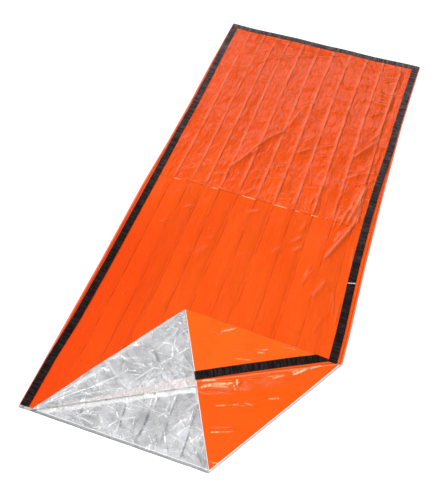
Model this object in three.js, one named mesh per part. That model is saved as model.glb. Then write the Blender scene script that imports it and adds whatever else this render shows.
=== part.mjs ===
// Emergency sleeping bag: a flat film bag laid out on the ground, its near right mouth corner opened and
// squashed flat. The group is in millimetres with +Z up. Inside this file x runs from the left edge to the
// right edge, y from the mouth to the foot, and the group is moved at the end so that its box is centred.
import * as THREE from "three";

// Driving dimensions
const BAG_WIDTH = 910;
const BAG_LENGTH = 2134;
const FILM_THICKNESS = 1.2;
const TAPE_THICKNESS = 0.8;
const TAPE_WIDTH = 28.5;
const PIECE_GAP = 0.35;
const JOINT_GAP = 1.6; // between a lap and the top panel, under the tape
const FOOT_TAPE_REACH = 31;

// The opened corner: all its folds meet at CORNER on the right edge
const CORNER = { x: BAG_WIDTH, y: 480 };
const TOP_FOLD_START_X = 40; // where the top panel's fold leaves the mouth edge
const LOWER_FOLD_DEG = 31.2; // fold of the lower panel, from the right edge's direction towards the mouth
const CORNER_SLIT = 7; // the side wrap stops this far beyond the corner

// Heights of the middle of each layer
const FLOOR_LAYER_Z = FILM_THICKNESS / 2;
const SIDE_LAYER_Z = 4.6; // the top panel beside the long edges
const CROWN_LAYER_Z = 10.5; // the top panel away from its edges
const FOLD_LAYER_Z = 7.4; // the top panel beside its fold at the mouth
const FOOT_FLOOR_Z = 1.9; // the lower panel at the foot, lifted over the foot tape
const FOOT_TOP_Z = 3.7; // the top panel at the foot
const FLAP_RISE = 5.2; // from the top panel up to its turned-back flap
const KITE_RISE = 3.2; // from the flap up to the layer laid back over it
const LOW_KITE_RISE = 3.2; // from the floor layer up to the opened corner beyond the top panel's fold
const KITE_RAMP = 42; // length over which the opened corner comes down from the flap
const KITE_RAMP_START = 2;
const CORNER_PILE = { from: 20, reach: 160 }; // near the corner all layers stay at the height of the pile

// Half widths of the folds in plan
const SIDE_ROLL = 2.4;
const TOP_ROLL = { start: 2.2, middle: 7, end: 3.4 };
const KITE_ROLL = 2;
const LOWER_ROLL = 2.2;

// Relief
const PLEAT_HEIGHT = 1.6; // half the height of the storage pleats
const HALF_FOLD_Y = 1065;
const HALF_FOLD_REACH = 45;
const HALF_FOLD_HEIGHT = 1.2;
const EDGE_FLAT = 55; // the strip beside the long edges that carries the tape and lies even
const EDGE_RISE = 110;
const FOOT_RISE = 120;
const FOLD_RISE = 90;
const FOOT_SETBACK = 2; // the panels end this far inside the foot tape's bend
const FOOT_BEND = 1.6; // how far the foot tape's bend stands out
const FOOT_DRIFT_REACH = 200;

// Storage creases across the width: x at the foot half and x at the mouth half
const LONG_CREASES = [
  { farX: 100, nearX: 93 },
  { farX: 172, nearX: 165 },
  { farX: 232, nearX: 228 },
  { farX: 291, nearX: 290 },
  { farX: 365, nearX: 365 },
  { farX: 440, nearX: 440 },
  { farX: 512, nearX: 510 },
  { farX: 590, nearX: 588 },
  { farX: 668, nearX: 665 },
  { farX: 745, nearX: 745 },
  { farX: 828, nearX: 820 },
];

// Soft diagonal folds of the top panel: a straight run with its width and height
const SOFT_FOLDS = [
  { fromX: 250, fromY: 1150, toX: 370, toY: 1400, width: 50, height: 2.6 },
  { fromX: 370, fromY: 1400, toX: 520, toY: 1690, width: 60, height: 2.2 },
  { fromX: 270, fromY: 1950, toX: 520, toY: 2050, width: 60, height: -1.8 },
  { fromX: 440, fromY: 1260, toX: 590, toY: 1380, width: 55, height: -1.8 },
  { fromX: 735, fromY: 1430, toX: 815, toY: 1700, width: 50, height: 2.2 },
  { fromX: 740, fromY: 850, toX: 810, toY: 1130, width: 45, height: 2.2 },
];

// How far the tape lies inside the long edges, along the bag
const LEFT_TAPE_INSET = [
  { y: 0, inset: 2.6 },
  { y: 180, inset: 4 },
  { y: 350, inset: 13 },
  { y: 800, inset: 16 },
  { y: 1000, inset: 18 },
  { y: 1300, inset: 10 },
  { y: 1700, inset: 10 },
  { y: 2000, inset: 4 },
  { y: 2134, inset: 3 },
];
const RIGHT_TAPE_INSET = [
  { y: 0, inset: 8 },
  { y: 200, inset: 13 },
  { y: 480, inset: 17 },
  { y: 800, inset: 20 },
  { y: 1100, inset: 20 },
  { y: 1300, inset: 16 },
  { y: 1550, inset: 6 },
  { y: 1750, inset: 5 },
  { y: 2134, inset: 4 },
];

// Unevenness of the outline: how far each edge lies off its straight line
const LEFT_EDGE_DRIFT = [
  { y: 0, drift: 0 },
  { y: 600, drift: 0 },
  { y: 1000, drift: -5 },
  { y: 1250, drift: 0 },
  { y: 1500, drift: 0 },
  { y: 1800, drift: -5 },
  { y: 2134, drift: -5 },
];
const RIGHT_EDGE_DRIFT = [
  { y: 0, drift: 0 },
  { y: 480, drift: 0 },
  { y: 600, drift: 0 },
  { y: 900, drift: -8 },
  { y: 1250, drift: -11 },
  { y: 1700, drift: -10 },
  { y: 1900, drift: -5 },
  { y: 2134, drift: 2 },
];
const FOOT_EDGE_DRIFT = [
  { x: 0, drift: 3 },
  { x: 100, drift: -2 },
  { x: 320, drift: 3 },
  { x: 450, drift: -1 },
  { x: 560, drift: 1 },
  { x: 700, drift: -3 },
  { x: 850, drift: 3 },
  { x: 910, drift: 2 },
];

const ORANGE = "#f4511a";
const BLACK = "#241d1c";

// Small helpers
const clamp = (value, low, high) => Math.min(high, Math.max(low, value));
const mix = (a, b, share) => a + (b - a) * share;
const radians = (degrees) => (degrees * Math.PI) / 180;

function smooth(value) {
  const t = clamp(value, 0, 1);
  return t * t * (3 - 2 * t);
}

// A value read from a table with straight runs between its rows.
function lookUp(table, key, column, at) {
  const last = table[table.length - 1];
  if (at <= table[0][key]) return table[0][column];
  if (at >= last[key]) return last[column];
  const next = table.findIndex((row) => row[key] > at);
  const low = table[next - 1];
  const high = table[next];
  return mix(low[column], high[column], (at - low[key]) / (high[key] - low[key]));
}

// A line through a point; its positive side is to the right of the direction it runs in.
function makeLine(x, y, directionX, directionY) {
  const length = Math.hypot(directionX, directionY);
  const ax = directionX / length;
  const ay = directionY / length;
  return { x, y, ax, ay, nx: ay, ny: -ax };
}

function onLine(line, x, y) {
  const dx = x - line.x;
  const dy = y - line.y;
  return { along: dx * line.ax + dy * line.ay, off: dx * line.nx + dy * line.ny };
}

function fromLine(line, along, off) {
  return {
    x: line.x + line.ax * along + line.nx * off,
    y: line.y + line.ay * along + line.ny * off,
  };
}

// A fold seen across its line. off is the distance past the line before folding and half the width of the
// bend on either side. The result is where the cloth lies, and its share of the way to the upper layer.
function bend(off, half) {
  if (off <= -half) return { off, share: 0 };
  if (off >= half) return { off: -off, share: 1 };
  const turn = (Math.PI * (off + half)) / (2 * half);
  return { off: -half + half * Math.sin(turn), share: (1 - Math.cos(turn)) / 2 };
}

// Folds of the opened corner
const TOP_FOLD = makeLine(
  TOP_FOLD_START_X,
  0,
  CORNER.x - TOP_FOLD_START_X,
  CORNER.y,
);
const TOP_FOLD_LENGTH = Math.hypot(CORNER.x - TOP_FOLD_START_X, CORNER.y);
const topFoldDeg = 90 - (Math.atan2(CORNER.y, CORNER.x - TOP_FOLD_START_X) * 180) / Math.PI;
const KITE_FOLD_DEG = topFoldDeg - LOWER_FOLD_DEG; // in the flat top panel, from the edge towards the mouth
const spread = (degrees) => ({
  x: -Math.sin(radians(degrees)),
  y: -Math.cos(radians(degrees)),
});
const kiteDown = spread(KITE_FOLD_DEG);
const lowerDown = spread(LOWER_FOLD_DEG);
const KITE_FOLD = makeLine(CORNER.x, CORNER.y, -kiteDown.x, -kiteDown.y);
const LOWER_FOLD = makeLine(CORNER.x, CORNER.y, -lowerDown.x, -lowerDown.y);

function topRollHalf(along) {
  const share = clamp(along / TOP_FOLD_LENGTH, 0, 1);
  const { start, middle, end } = TOP_ROLL;
  return share < 0.5
    ? mix(start, middle, smooth(share / 0.5))
    : mix(middle, end, smooth((share - 0.5) / 0.5));
}

// Heights of the layers over the ground, each at a place in plan
function pleat(x, y) {
  const half = clamp((y - HALF_FOLD_Y) / HALF_FOLD_REACH, -1, 1);
  const toFar = smooth((y - HALF_FOLD_Y) / HALF_FOLD_REACH / 2 + 0.5);
  const places = LONG_CREASES.map((row) => mix(row.nearX, row.farX, toFar));
  const count = places.length;
  let level = 1;
  if (x > places[0] && x < places[count - 1]) {
    const next = places.findIndex((place) => place > x);
    const share = (x - places[next - 1]) / (places[next] - places[next - 1]);
    const sign = next % 2 === 0 ? 1 : -1;
    level = sign * mix(-1, 1, share);
  }
  return level * half * PLEAT_HEIGHT;
}

function softFolds(x, y) {
  return SOFT_FOLDS.reduce((sum, row) => {
    const line = makeLine(row.fromX, row.fromY, row.toX - row.fromX, row.toY - row.fromY);
    const length = Math.hypot(row.toX - row.fromX, row.toY - row.fromY);
    const place = onLine(line, x, y);
    const across = smooth(1 - Math.abs(place.off) / row.width);
    const past = Math.max(-place.along, place.along - length, 0);
    return sum + row.height * across * smooth(1 - past / row.width);
  }, 0);
}

function floorLayer(x, y) {
  const foot = smooth((y - (BAG_LENGTH - 2 * FOOT_TAPE_REACH)) / FOOT_TAPE_REACH);
  return mix(FLOOR_LAYER_Z, FOOT_FLOOR_Z, foot);
}

function topLayer(x, y) {
  const fromEdge = Math.min(x, BAG_WIDTH - x);
  const inner = smooth((fromEdge - EDGE_FLAT) / EDGE_RISE);
  const foot = smooth((BAG_LENGTH - FOOT_TAPE_REACH - y) / FOOT_RISE);
  const side = mix(FOOT_TOP_Z, SIDE_LAYER_Z, foot);
  const place = onLine(TOP_FOLD, x, y);
  const nearFold = smooth((-place.off - TOP_ROLL.middle) / FOLD_RISE);
  const crown = mix(FOLD_LAYER_Z, CROWN_LAYER_Z, nearFold);
  const ridge = HALF_FOLD_HEIGHT * clamp(1 - Math.abs(y - HALF_FOLD_Y) / HALF_FOLD_REACH, 0, 1);
  const relief = (pleat(x, y) + softFolds(x, y)) * nearFold + ridge;
  return mix(side, crown + relief, inner * foot);
}

function flapLayer(x, y) {
  return topLayer(x, y) + FLAP_RISE;
}

function kiteLayer(x, y) {
  const place = onLine(TOP_FOLD, x, y);
  const kept = fromLine(TOP_FOLD, place.along, Math.min(place.off, 0));
  const high = flapLayer(kept.x, kept.y) + KITE_RISE;
  const low = FLOOR_LAYER_Z + LOW_KITE_RISE;
  const fromCorner = Math.hypot(x - CORNER.x, y - CORNER.y);
  const lowered = mix(high, low, smooth((fromCorner - CORNER_PILE.from) / CORNER_PILE.reach));
  return mix(high, lowered, smooth((place.off - KITE_RAMP_START) / KITE_RAMP));
}

// The uneven outline, as a small shift of every place in plan
function unevenly(point) {
  const left = lookUp(LEFT_EDGE_DRIFT, "y", "drift", point.y);
  const right = lookUp(RIGHT_EDGE_DRIFT, "y", "drift", point.y);
  const foot = lookUp(FOOT_EDGE_DRIFT, "x", "drift", point.x);
  const toFoot = smooth((point.y - BAG_LENGTH + FOOT_DRIFT_REACH) / FOOT_DRIFT_REACH);
  return new THREE.Vector3(
    point.x + mix(left, right, clamp(point.x / BAG_WIDTH, 0, 1)),
    point.y + foot * toFoot,
    point.z,
  );
}

// Where a place of the flat upper side comes to lie. x is measured from the left edge, also on the laps.
function upperSide(x, y) {
  const flat = onLine(KITE_FOLD, x, y);
  const kite = bend(flat.off, KITE_ROLL);
  const turned = kite.share > 0 ? fromLine(KITE_FOLD, flat.along, kite.off) : { x, y };
  const place = onLine(TOP_FOLD, turned.x, turned.y);
  const over = bend(place.off, kite.share === 1 ? 1e-6 : topRollHalf(place.along));
  const at = fromLine(TOP_FOLD, place.along, over.off);
  const lifted = mix(flapLayer(at.x, at.y), kiteLayer(at.x, at.y), kite.share);
  return unevenly({ ...at, z: mix(topLayer(at.x, at.y), lifted, over.share) });
}

// Where a place of the flat lower panel comes to lie. x runs past both long edges onto the laps.
function lowerSide(x, y, onKite) {
  if (x < SIDE_ROLL) {
    const wrap = bend(-x, SIDE_ROLL);
    return unevenly({
      x: -wrap.off,
      y,
      z: mix(floorLayer(-wrap.off, y), topLayer(-wrap.off, y), wrap.share),
    });
  }
  if (x > BAG_WIDTH - SIDE_ROLL && !onKite) {
    const wrap = bend(x - BAG_WIDTH, SIDE_ROLL);
    const across = BAG_WIDTH + wrap.off;
    return unevenly({
      x: across,
      y,
      z: mix(floorLayer(across, y), topLayer(across, y), wrap.share),
    });
  }
  const flat = onLine(LOWER_FOLD, x, y);
  const corner = bend(flat.off, LOWER_ROLL);
  const at = fromLine(LOWER_FOLD, flat.along, corner.off);
  return unevenly({
    ...at,
    z: mix(floorLayer(at.x, at.y), kiteLayer(at.x, at.y), corner.share),
  });
}

// Inner edge of a lap, outer edge of the top panel: both under the middle of the tape
const leftInset = (y) => lookUp(LEFT_TAPE_INSET, "y", "inset", y);
const rightInset = (y) => lookUp(RIGHT_TAPE_INSET, "y", "inset", y);
const leftJoint = (y) => leftInset(y) + TAPE_WIDTH / 2;
const rightJoint = (y) => rightInset(y) + TAPE_WIDTH / 2;

// Rows along the bag at a place across it: every fold of the upper side is followed by its own rows
const ROLL_ROWS = 6;
const KITE_ROWS = 12;
const FLAP_ROWS = 6;
const MOUTH_HALF_ROWS = 10;
const FOOT_HALF_ROWS = 13;
const KITE_FOLD_SLOPE = Math.tan(radians(KITE_FOLD_DEG));
const KITE_LAP_SLOPE = 1 / KITE_FOLD_SLOPE + 0.08; // the lap ends a little short of the kite's fold
const LOWER_FOLD_SLOPE = Math.tan(radians(LOWER_FOLD_DEG));
const TOP_FOLD_SLOPE = CORNER.y / (CORNER.x - TOP_FOLD_START_X);

function spacedRows(rows, from, to, count) {
  for (let i = 1; i <= count; i += 1) rows.push(mix(from, to, i / count));
}

function upperRows(x) {
  const fromEdge = BAG_WIDTH - x;
  const kiteY = CORNER.y - fromEdge / KITE_FOLD_SLOPE;
  const kiteHalf = KITE_ROLL / Math.sin(radians(KITE_FOLD_DEG));
  const topY = TOP_FOLD_SLOPE * (x - TOP_FOLD_START_X);
  const along = onLine(TOP_FOLD, x, topY).along;
  const topHalf = topRollHalf(along) / Math.sin(radians(topFoldDeg));
  const rows = [0];
  spacedRows(rows, 0, kiteY - kiteHalf, KITE_ROWS);
  spacedRows(rows, kiteY - kiteHalf, kiteY + kiteHalf, ROLL_ROWS);
  spacedRows(rows, Math.max(0, kiteY + kiteHalf), topY - topHalf, FLAP_ROWS);
  spacedRows(rows, topY - topHalf, topY + topHalf, ROLL_ROWS);
  spacedRows(rows, Math.max(0, topY + topHalf), HALF_FOLD_Y - HALF_FOLD_REACH, MOUTH_HALF_ROWS);
  spacedRows(rows, HALF_FOLD_Y - HALF_FOLD_REACH, HALF_FOLD_Y + HALF_FOLD_REACH, 2);
  spacedRows(rows, HALF_FOLD_Y + HALF_FOLD_REACH, BAG_LENGTH - FOOT_TAPE_REACH, FOOT_HALF_ROWS);
  spacedRows(rows, BAG_LENGTH - FOOT_TAPE_REACH, BAG_LENGTH - FOOT_SETBACK, 2);
  return rows.map((y) => Math.max(0, y));
}

function lowerRows(x) {
  const fromEdge = BAG_WIDTH - x;
  const foldY = CORNER.y - fromEdge / LOWER_FOLD_SLOPE;
  const foldHalf = LOWER_ROLL / Math.sin(radians(LOWER_FOLD_DEG));
  const rows = [0];
  spacedRows(rows, 0, foldY - foldHalf, KITE_ROWS);
  spacedRows(rows, foldY - foldHalf, foldY + foldHalf, ROLL_ROWS);
  const start = Math.max(0, foldY + foldHalf);
  spacedRows(rows, start, Math.max(start, CORNER.y + CORNER_SLIT), 4);
  spacedRows(rows, CORNER.y + CORNER_SLIT, HALF_FOLD_Y - HALF_FOLD_REACH, 6);
  spacedRows(rows, HALF_FOLD_Y - HALF_FOLD_REACH, HALF_FOLD_Y + HALF_FOLD_REACH, 2);
  spacedRows(rows, HALF_FOLD_Y + HALF_FOLD_REACH, BAG_LENGTH - 2 * FOOT_TAPE_REACH, FOOT_HALF_ROWS);
  spacedRows(rows, BAG_LENGTH - 2 * FOOT_TAPE_REACH, BAG_LENGTH - FOOT_SETBACK, 4);
  return rows.map((y) => Math.max(0, y));
}

// A thin closed sheet: triangles of its middle surface, thickened from one height over it to another.
function sheetSolid(triangles, lowOffset, highOffset) {
  const keys = new Map();
  const points = [];
  const normals = [];
  const faces = [];
  const indexOf = (point) => {
    const key = [point.x, point.y, point.z].map((n) => Math.round(n * 1e3)).join(",");
    if (!keys.has(key)) {
      keys.set(key, points.length);
      points.push(point);
      normals.push(new THREE.Vector3());
    }
    return keys.get(key);
  };
  for (const triangle of triangles) {
    const face = triangle.map(indexOf);
    const [a, b, c] = face;
    if (a === b || b === c || c === a) continue;
    const normal = new THREE.Vector3()
      .subVectors(points[b], points[a])
      .cross(new THREE.Vector3().subVectors(points[c], points[a]));
    if (normal.length() < 1e-4) continue;
    faces.push(face);
    face.forEach((corner, i) => {
      const next = points[face[(i + 1) % 3]];
      const other = points[face[(i + 2) % 3]];
      const here = points[corner];
      const angle = new THREE.Vector3()
        .subVectors(next, here)
        .angleTo(new THREE.Vector3().subVectors(other, here));
      normals[corner].addScaledVector(normal.clone().normalize(), angle);
    });
  }
  normals.forEach((normal) => normal.normalize());
  const count = points.length;
  const positions = [];
  for (const offset of [lowOffset, highOffset]) {
    points.forEach((point, i) => {
      positions.push(...point.clone().addScaledVector(normals[i], offset).toArray());
    });
  }
  const edges = new Set();
  faces.forEach((face) => face.forEach((a, i) => edges.add(a * count + face[(i + 1) % 3])));
  const index = [];
  faces.forEach(([a, b, c]) => {
    index.push(a + count, b + count, c + count);
    index.push(a, c, b);
    [[a, b], [b, c], [c, a]].forEach(([from, to]) => {
      if (edges.has(to * count + from)) return;
      index.push(from, to, to + count);
      index.push(from, to + count, from + count);
    });
  });
  const geometry = new THREE.BufferGeometry();
  geometry.setAttribute("position", new THREE.Float32BufferAttribute(positions, 3));
  geometry.setIndex(index);
  geometry.computeVertexNormals();
  return geometry;
}

// Two triangles for every cell of a grid of points, given as grid[column][row]; a wide cell is cut along
// the shorter way across.
function gridTriangles(grid, flipped = false) {
  const triangles = [];
  for (let i = 0; i + 1 < grid.length; i += 1) {
    for (let j = 0; j + 1 < grid[i].length; j += 1) {
      const a = grid[i][j];
      const b = grid[i + 1][j];
      const c = grid[i + 1][j + 1];
      const d = grid[i][j + 1];
      const pair = a.distanceTo(c) <= b.distanceTo(d) ? [[a, b, c], [a, c, d]] : [[a, b, d], [b, c, d]];
      pair.forEach((triangle) => triangles.push(flipped ? triangle.reverse() : triangle));
    }
  }
  return triangles;
}

// A grid over the flat cloth. Its columns may lean: placeOf gives x for a column at a distance y.
function makeGrid(columns, rowsOf, placeOf, layOut) {
  return columns.map((column) => {
    const count = rowsOf(BAG_WIDTH / 2).length;
    return Array.from({ length: count }, (_, j) => {
      let y = 0;
      let x = placeOf(column, y);
      for (let pass = 0; pass < 4; pass += 1) {
        y = rowsOf(x)[j];
        x = placeOf(column, y);
      }
      return layOut(x, y);
    });
  });
}

// Columns of the panels: the creases, the middles between them and the places where a fold meets the mouth
const creaseColumns = LONG_CREASES.flatMap((row, i) => {
  const next = LONG_CREASES[i + 1];
  const step = { near: row.nearX, far: row.farX };
  if (!next) return [step];
  return [step, { near: (row.nearX + next.nearX) / 2, far: (row.farX + next.farX) / 2 }];
});
const KITE_FOLD_FOOT_X = BAG_WIDTH - CORNER.y * KITE_FOLD_SLOPE;
const LOWER_FOLD_FOOT_X = BAG_WIDTH - CORNER.y * LOWER_FOLD_SLOPE;
const even = (x) => ({ near: x, far: x });
const RAMP_COLUMNS = [848, 862, 872, 882, 892, 900]; // where the opened corner comes down from the flap
const MOUTH_COLUMNS = [58, 74]; // beside the start of the top panel's fold
const FLOOR_COLUMNS = [14, 46]; // between the left wrap and the first crease
const leanAt = (y) => smooth((y - HALF_FOLD_Y) / HALF_FOLD_REACH / 2 + 0.5);
const columnPlace = (column, y) => mix(column.near, column.far, leanAt(y));

// The columns between a joint and the first crease lean with the joint, the others stay on their creases.
const INNER_LIMITS = { left: 52, right: 838 };

function topPanel() {
  const kiteFoot = KITE_ROLL / Math.cos(radians(KITE_FOLD_DEG));
  const creases = [
    ...creaseColumns,
    even(KITE_FOLD_FOOT_X - kiteFoot),
    even(KITE_FOLD_FOOT_X + kiteFoot),
    ...MOUTH_COLUMNS.map(even),
  ].sort((a, b) => a.near - b.near);
  const columns = [
    { fromLeft: 0 },
    { fromLeft: 0.3 },
    { fromLeft: 0.6 },
    ...creases,
    { fromRight: 0.8 },
    { fromRight: 0.5 },
    { fromRight: 0 },
  ];
  const placeOf = (column, y) => {
    const low = leftJoint(y) + JOINT_GAP / 2;
    const high = BAG_WIDTH - rightJoint(y) - JOINT_GAP / 2;
    if (column.fromLeft !== undefined) return mix(low, INNER_LIMITS.left, column.fromLeft);
    if (column.fromRight !== undefined) return mix(high, INNER_LIMITS.right, column.fromRight);
    return columnPlace(column, y);
  };
  return sheetSolid(
    gridTriangles(makeGrid(columns, upperRows, placeOf, upperSide)),
    -FILM_THICKNESS / 2,
    FILM_THICKNESS / 2,
  );
}

function bottomPanel() {
  const lap = JOINT_GAP / 2;
  const wrapTurns = [-1, -0.8, -0.5, -0.2, 0.2, 0.5, 0.8, 1];
  const main = [
    ...FLOOR_COLUMNS.map(even),
    ...creaseColumns,
    even(LOWER_FOLD_FOOT_X),
    even(LOWER_FOLD_FOOT_X + LOWER_ROLL / Math.cos(radians(LOWER_FOLD_DEG))),
    ...RAMP_COLUMNS.map(even),
    even(BAG_WIDTH - SIDE_ROLL),
  ].sort((a, b) => a.near - b.near);
  const leftWrap = wrapTurns.map((turn) => even(turn * SIDE_ROLL));
  const leftColumns = [{ lap: 1 }, { lap: 0.5 }, ...leftWrap, ...main];
  const placeLeft = (column, y) =>
    column.lap !== undefined
      ? mix(-SIDE_ROLL, -(leftJoint(y) - lap), column.lap)
      : columnPlace(column, y);
  const grid = makeGrid(leftColumns, lowerRows, placeLeft, (x, y) => lowerSide(x, y, true));

  const edgeColumn = even(BAG_WIDTH - SIDE_ROLL);
  const rightWrap = wrapTurns.slice(1).map((turn) => even(BAG_WIDTH + turn * SIDE_ROLL));
  const rightColumns = [edgeColumn, ...rightWrap, { lap: 0.5 }, { lap: 1 }];
  const placeRight = (column, y) =>
    column.lap !== undefined
      ? mix(BAG_WIDTH + SIDE_ROLL, BAG_WIDTH + rightJoint(y) - lap, column.lap)
      : columnPlace(column, y);
  const firstWrapRow = lowerRows(BAG_WIDTH - SIDE_ROLL).findIndex(
    (y) => y >= CORNER.y + CORNER_SLIT - 1e-6,
  );
  const edgeRows = lowerRows(BAG_WIDTH - SIDE_ROLL).slice(firstWrapRow);
  const wrapGrid = makeGrid(rightColumns, () => edgeRows, placeRight, (x, y) => lowerSide(x, y, false));

  const kiteRows = lowerRows(BAG_WIDTH - SIDE_ROLL).slice(0, KITE_ROWS + 1);
  const kiteTop = kiteRows[KITE_ROWS];
  const kiteLimit = (x) => kiteTop - (x - edgeColumn.near) * KITE_LAP_SLOPE;
  const kiteRowsAt = (x) => kiteRows.map((y) => (y * kiteLimit(x)) / kiteTop);
  const kiteEdge = BAG_WIDTH + 2 * SIDE_ROLL;
  const kiteColumns = [edgeColumn, even(BAG_WIDTH), even(kiteEdge), { lap: 0.5 }, { lap: 1 }];
  const placeKite = (column, y) =>
    column.lap !== undefined
      ? mix(kiteEdge, BAG_WIDTH + rightJoint(y) - lap, column.lap)
      : column.near;
  const kiteGrid = makeGrid(kiteColumns, kiteRowsAt, placeKite, (x, y) => lowerSide(x, y, true));

  return sheetSolid(
    [grid, wrapGrid, kiteGrid].flatMap((part) => gridTriangles(part, true)),
    -FILM_THICKNESS / 2,
    FILM_THICKNESS / 2,
  );
}

const TAPE_LOW = FILM_THICKNESS / 2 + PIECE_GAP;
const TAPE_HIGH = TAPE_LOW + TAPE_THICKNESS;
const TAPE_END_Y = BAG_LENGTH - FOOT_TAPE_REACH - JOINT_GAP;

// A side tape lies on the outer face of the upper side and goes through its folds with it.
function sideTape(placeOf) {
  const shares = [{ share: 0 }, { share: 0.5 }, { share: 1 }];
  const rowsTo = (x) => upperRows(x).map((y) => Math.min(y, TAPE_END_Y));
  const grid = makeGrid(shares, rowsTo, placeOf, upperSide);
  return sheetSolid(gridTriangles(grid), TAPE_LOW, TAPE_HIGH);
}

const tapeLeft = () => sideTape(({ share }, y) => leftInset(y) + share * TAPE_WIDTH);
const tapeRight = () =>
  sideTape(({ share }, y) => BAG_WIDTH - rightInset(y) - (1 - share) * TAPE_WIDTH);

// The foot tape is a U: over the top panel, round the foot edges and under the lower panel.
function tapeFoot() {
  const ends = [SIDE_ROLL + PIECE_GAP, BAG_WIDTH - SIDE_ROLL - PIECE_GAP];
  const edges = FLOOR_COLUMNS.flatMap((x) => [x, BAG_WIDTH - x]);
  const columns = [...ends, ...edges, ...creaseColumns.map(({ far }) => far)].sort((a, b) => a - b);
  const middle = TAPE_LOW + TAPE_THICKNESS / 2;
  const bendY = BAG_LENGTH - FOOT_SETBACK / 2;
  const turns = Array.from({ length: ROLL_ROWS - 1 }, (_, i) => (Math.PI * (i + 1)) / ROLL_ROWS);
  const grid = columns.map((x) => {
    const top = topLayer(x, BAG_LENGTH) + middle;
    const bottom = floorLayer(x, BAG_LENGTH) - middle;
    const straight = [BAG_LENGTH - FOOT_TAPE_REACH, bendY];
    const over = straight.map((y) => ({ x, y, z: topLayer(x, y) + middle }));
    const round = turns.map((turn) => ({
      x,
      y: bendY + FOOT_BEND * Math.sin(turn),
      z: mix(bottom, top, (1 + Math.cos(turn)) / 2),
    }));
    const under = straight.map((y) => ({ x, y, z: floorLayer(x, y) - middle })).reverse();
    return [...over, ...round, ...under].map(unevenly);
  });
  return sheetSolid(gridTriangles(grid), -TAPE_THICKNESS / 2, TAPE_THICKNESS / 2);
}

function makePiece(name, geometry, color, roughness) {
  const material = new THREE.MeshStandardMaterial({ color, roughness, metalness: 0 });
  const mesh = new THREE.Mesh(geometry, material);
  mesh.name = name;
  return mesh;
}

const bag = new THREE.Group();
bag.name = "emergency_sleeping_bag";
bag.add(makePiece("bottom_panel", bottomPanel(), ORANGE, 0.35));
bag.add(makePiece("top_panel", topPanel(), ORANGE, 0.35));
bag.add(makePiece("tape_left", tapeLeft(), BLACK, 0.6));
bag.add(makePiece("tape_right", tapeRight(), BLACK, 0.6));
bag.add(makePiece("tape_foot", tapeFoot(), BLACK, 0.6));

const box = new THREE.Box3().setFromObject(bag, true);
bag.position.set(-(box.min.x + box.max.x) / 2, -(box.min.y + box.max.y) / 2, -box.min.z);

export default bag;
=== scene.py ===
# %% [markdown]
# # Emergency sleeping bag
# A film bag lies flat with its mouth towards us. Two film panels, orange outside and silver inside, are
# joined by black tape along both sides and the foot. The near right corner of the mouth is opened and
# squashed flat, so the silver shows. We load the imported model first: it fixes the places and sizes.

# %% Load the frame
import math

import bmesh
import bpy
import numpy as np
from mathutils import Matrix, Vector


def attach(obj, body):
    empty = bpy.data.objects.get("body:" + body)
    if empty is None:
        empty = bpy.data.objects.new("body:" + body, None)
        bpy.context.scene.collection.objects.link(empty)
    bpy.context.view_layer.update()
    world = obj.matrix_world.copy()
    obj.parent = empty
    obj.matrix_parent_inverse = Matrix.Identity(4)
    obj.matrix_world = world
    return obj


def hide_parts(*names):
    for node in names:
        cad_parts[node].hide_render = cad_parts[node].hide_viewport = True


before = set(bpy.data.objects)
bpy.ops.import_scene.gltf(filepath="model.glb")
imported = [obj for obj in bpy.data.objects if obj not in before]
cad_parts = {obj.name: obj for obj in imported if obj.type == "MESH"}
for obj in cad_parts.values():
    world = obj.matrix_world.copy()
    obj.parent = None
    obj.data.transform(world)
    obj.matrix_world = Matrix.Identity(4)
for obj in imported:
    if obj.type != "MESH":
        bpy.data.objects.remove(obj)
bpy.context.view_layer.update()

# %% [markdown]
# ## Camera
# The photograph looks down over the mouth from about two metres up. A camera can be aimed with a target
# or given its three axes. The axes are used here, because they were solved from the bag's corners.

# %% Camera
CAMERA_PLACE = (0.3592, -1.7675, 2.0031)
CAMERA_LOOK = (-0.1671, 0.5896, -0.7902)
CAMERA_RIGHT = (0.9463, 0.3208, 0.0392)
LENS, SENSOR_WIDTH = 50, 36


def aimed(place, look, right):
    """A camera's matrix: x along right, z against the look, y square to both."""
    back = -Vector(look).normalized()
    side = (Vector(right) - back * Vector(right).dot(back)).normalized()
    up = back.cross(side)
    turn = Matrix((side, up, back)).transposed().to_4x4()
    return Matrix.Translation(place) @ turn


camera_data = bpy.data.cameras.new("photo_camera")
camera_data.lens = LENS
camera_data.sensor_width = SENSOR_WIDTH
camera = bpy.data.objects.new("photo_camera", camera_data)
camera.matrix_world = aimed(CAMERA_PLACE, CAMERA_LOOK, CAMERA_RIGHT)
bpy.context.scene.collection.objects.link(camera)
bpy.context.scene.camera = camera
print("camera height", CAMERA_PLACE[2])

# %% [markdown]
# ## Sizes
# The cloth repeats the sizes of the solids, in metres. x runs from the left edge to the right, y from
# the mouth to the foot. BAG_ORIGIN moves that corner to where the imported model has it.

# %% Sizes of the bag
MM = 0.001
BAG_ORIGIN = np.array([-0.453446, -1.068492, 0.0])
BAG_WIDTH = 910 * MM
BAG_LENGTH = 2134 * MM
TAPE_WIDTH = 28.5 * MM
FOOT_TAPE_REACH = 31 * MM
FOOT_SETBACK = 2 * MM
JOINT_GAP = 1.6 * MM
FOOT_TAPE_Y = BAG_LENGTH - FOOT_TAPE_REACH
print("bag, m:", BAG_WIDTH, BAG_LENGTH)

# %% [markdown]
# ## Hand-made edges
# The real edges aren't quite straight: the tape wanders inwards and the film drifts with it. A few
# measured places with straight runs between them are enough, because film is stiff along its edge.

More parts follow.
